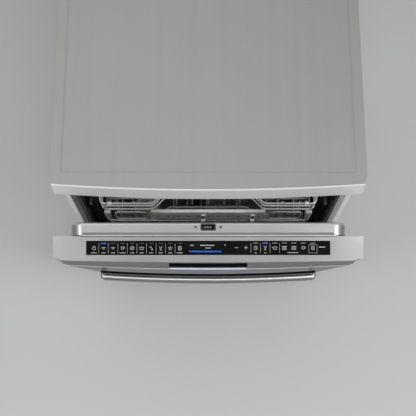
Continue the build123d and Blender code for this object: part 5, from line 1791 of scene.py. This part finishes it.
def tines(node, body):
    """A row of tines with round tips on a base wire."""
    low, high = node_box(node)
    y = (low.y + high.y) / 2
    base_z = low.z + RIM
    base = wire("tine_base", [(low.x, y, base_z), (high.x, y, base_z)], RIM)
    step = (high.x - low.x - 2 * TINE_MARGIN) / (TINES - 1)
    centre = (low.x + TINE_MARGIN, y, (base_z + high.z) / 2)
    tine = start_rod("tine", centre, RIM, high.z - base_z, "Z", 12)
    row = repeat(round_edges(tine, TINE_TIP, 4), TINES, (step, 0, 0))
    stand_for(join(node + "_wires", [base, row]), node, body, wire_finish)
    print(node, tuple(low), tuple(high))


tines("front_tine_row", "front_tines")
tines("rear_tine_row", "rear_tines")

# %% [markdown]
# The cutlery basket is a lattice too. It starts as a box without its lid, its cells are taller than
# they are wide, and the band along its top stays whole. Two walls part it inside.

# %% Cutlery basket
BAR = 1.6 * MM
CELL = 11 * MM
CELL_TALL = 1.6             # a cell is this many times taller than it is wide
TOP_BAND = 14 * MM
UPRIGHT = 0.5               # most that a side's normal may look up or down
basket_low, basket_high = node_box("cutlery_basket")
basket = start_box("basket", basket_low, basket_high)
pick_faces(basket, lambda middle, normal: normal.z > FACING)
bpy.ops.mesh.delete(type="FACE")
done()
cell_size = (CELL, CELL, CELL * CELL_TALL)
spans = basket_high - basket_low
cuts = [round(span / size) for span, size in zip(spans, cell_size)]
grid_cut(basket, basket_low, basket_high, cuts)
top_row = basket_high.z - TOP_BAND
open_cells(
    basket, BAR / 2, lambda middle, normal: abs(normal.z) < UPRIGHT and middle.z < top_row
)
apply_modifier(basket, "SOLIDIFY", thickness=BAR, offset=-1)
dividers = []
for index in (1, 2):
    x = basket_low.x + spans.x * index / 3
    wall = start_box(
        "divider",
        (x - BAR / 2, basket_low.y + BAR, basket_low.z + BAR),
        (x + BAR / 2, basket_high.y - BAR, basket_high.z),
    )
    dividers.append(round_edges(wall, 0.4 * MM))
lattice = join("cutlery_lattice", [smooth(basket), *dividers])
stand_for(lattice, "cutlery_basket", "lower_rack", grey_plastic)
print("basket faces", len(lattice.data.polygons))

# %% [markdown]
# What is left is hidden inside the base, behind the liner or at the bottom of the tub. These pieces
# keep the frame's own shape and only get the finish of their real material.

# %% Finishes for the nodes that stay
finishes = {
    "tub_back": tub_metal, "tub_floor": tub_metal, "filter_plate": tub_metal, "sump": grey_plastic,
    "circulation_pump": black_plastic, "drain_pump": black_plastic, "softener": white_plastic,
    "inlet_valve": white_plastic, "power_inlet": black_plastic, "hinge_brackets": zinc,
    "hinge_arms": zinc, "door_springs": zinc, "riser_pipe": grey_plastic,
    "ceiling_sprayer": grey_plastic, "control_board": board_green, "door_insulation": felt,
    "filter_cup": grey_plastic, "salt_cap": white_plastic, "spring_cords": cord_fibre,
    "latch_hook": zinc,
}
for node, finish in finishes.items():
    finish_with(frame["nodes"][node], finish)
print("nodes finished", len(finishes))

# %% [markdown]
# The machine stands on a plain pale floor. The floor's colour also lights the lower half of the
# machine, as a real floor does. The world is a soft grey that is brighter overhead than at the
# horizon, as in a room with a pale ceiling, so that round edges have both light and dark to
# reflect.

# %% Floor and world
FLOOR_SIZE = 40
FLOOR_GREY = (0.52, 0.52, 0.52, 1)
FLOOR_ROUGH = 0.9
HORIZON = 0.28
OVERHEAD = 0.45
SKY = (0.98, 0.99, 1.0, 1)
deselect()
bpy.ops.mesh.primitive_plane_add(size=FLOOR_SIZE, location=(0, 0, 0))
floor = start("floor")
floor_paint, floor_tree, floor_shader = new_material("pale_floor")
floor_shader.inputs["Base Color"].default_value = FLOOR_GREY
floor_shader.inputs["Roughness"].default_value = FLOOR_ROUGH
floor.data.materials.append(floor_paint)
world = bpy.data.worlds.new("studio")
bpy.context.scene.world = world
world.use_nodes = True
tree = world.node_tree
background = tree.nodes["Background"]
direction = add_node(tree, "ShaderNodeTexCoord")
split = add_node(tree, "ShaderNodeSeparateXYZ")
link(tree, direction.outputs["Generated"], split.inputs["Vector"])
link(tree, mixed(tree, split.outputs["Z"], HORIZON, OVERHEAD), background.inputs["Strength"])
background.inputs["Color"].default_value = SKY
print("floor's nodes", len(floor_tree.nodes), "world's", len(tree.nodes))

# %% [markdown]
# One large soft lamp hangs behind the machine, a little to the left, where the worktop mirrors it.
# Light only gets through the gap between worktop and door from high up and a little in front. Two
# lamps hang there, far out to the sides, and light the racks. Two fill lamps, one between them and
# one well in front, soften the shadows.

# %% Lamps


def soft_lamp(name, place, aim, size, power, mirrored=True):
    """A rectangular lamp that points at a place. Shiny metal doesn't mirror a fill lamp."""
    lamp = bpy.data.lights.new(name, "AREA")
    lamp.shape = "RECTANGLE"
    lamp.size, lamp.size_y = size
    lamp.energy = power
    holder = bpy.data.objects.new(name, lamp)
    bpy.context.scene.collection.objects.link(holder)
    holder.location = place
    holder.rotation_euler = (Vector(aim) - Vector(place)).to_track_quat("-Z", "Y").to_euler()
    holder.visible_camera = False
    holder.visible_glossy = mirrored


gap = Vector((0, front_y, top_z))
soft_lamp("ceiling_lamp", (-0.8, 0.9, 3.1), (-0.8, 0.9, 0), (2.2, 2.8), 10)
soft_lamp("left_gap_lamp", (-1.45, -0.95, 2.6), gap, (0.8, 0.6), 14)
soft_lamp("right_gap_lamp", (1.4, -0.95, 2.6), gap, (0.8, 0.6), 25)
soft_lamp("gap_fill", (0.15, -0.75, 2.6), gap, (0.6, 0.3), 8, mirrored=False)
soft_lamp("front_fill", (0.3, -3.0, 1.7), gap, (1.8, 1.0), 26, mirrored=False)
print("lamps", len(bpy.data.lights))

# %% [markdown]
# The camera looks steeply down at the machine's head from the front. Its lens, height and tilt were
# worked out from the picture's known sizes: the width of the worktop's front, the slanting cabinet
# edges and the crease along the door's head.

# %% Camera
CAMERA_AHEAD = -704.64 * MM
CAMERA_HEIGHT = 2453.27 * MM
CAMERA_TILT = 74.45         # degrees below level
LENS = 77.35
SENSOR = 36
PICTURE = 416
MIDDLE_OFF = 0.18           # the machine's middle is this many pixels right of the picture's
camera = bpy.data.objects.new("camera", bpy.data.cameras.new("camera"))
bpy.context.scene.collection.objects.link(camera)
camera.location = (0, CAMERA_AHEAD, CAMERA_HEIGHT)
camera.rotation_euler = (radians(90 - CAMERA_TILT), 0, 0)
camera.data.lens = LENS
camera.data.sensor_width = SENSOR
camera.data.shift_x = -MIDDLE_OFF / PICTURE
bpy.context.scene.camera = camera
bpy.context.scene.view_settings.view_transform = "Standard"
print("camera at", tuple(camera.location))
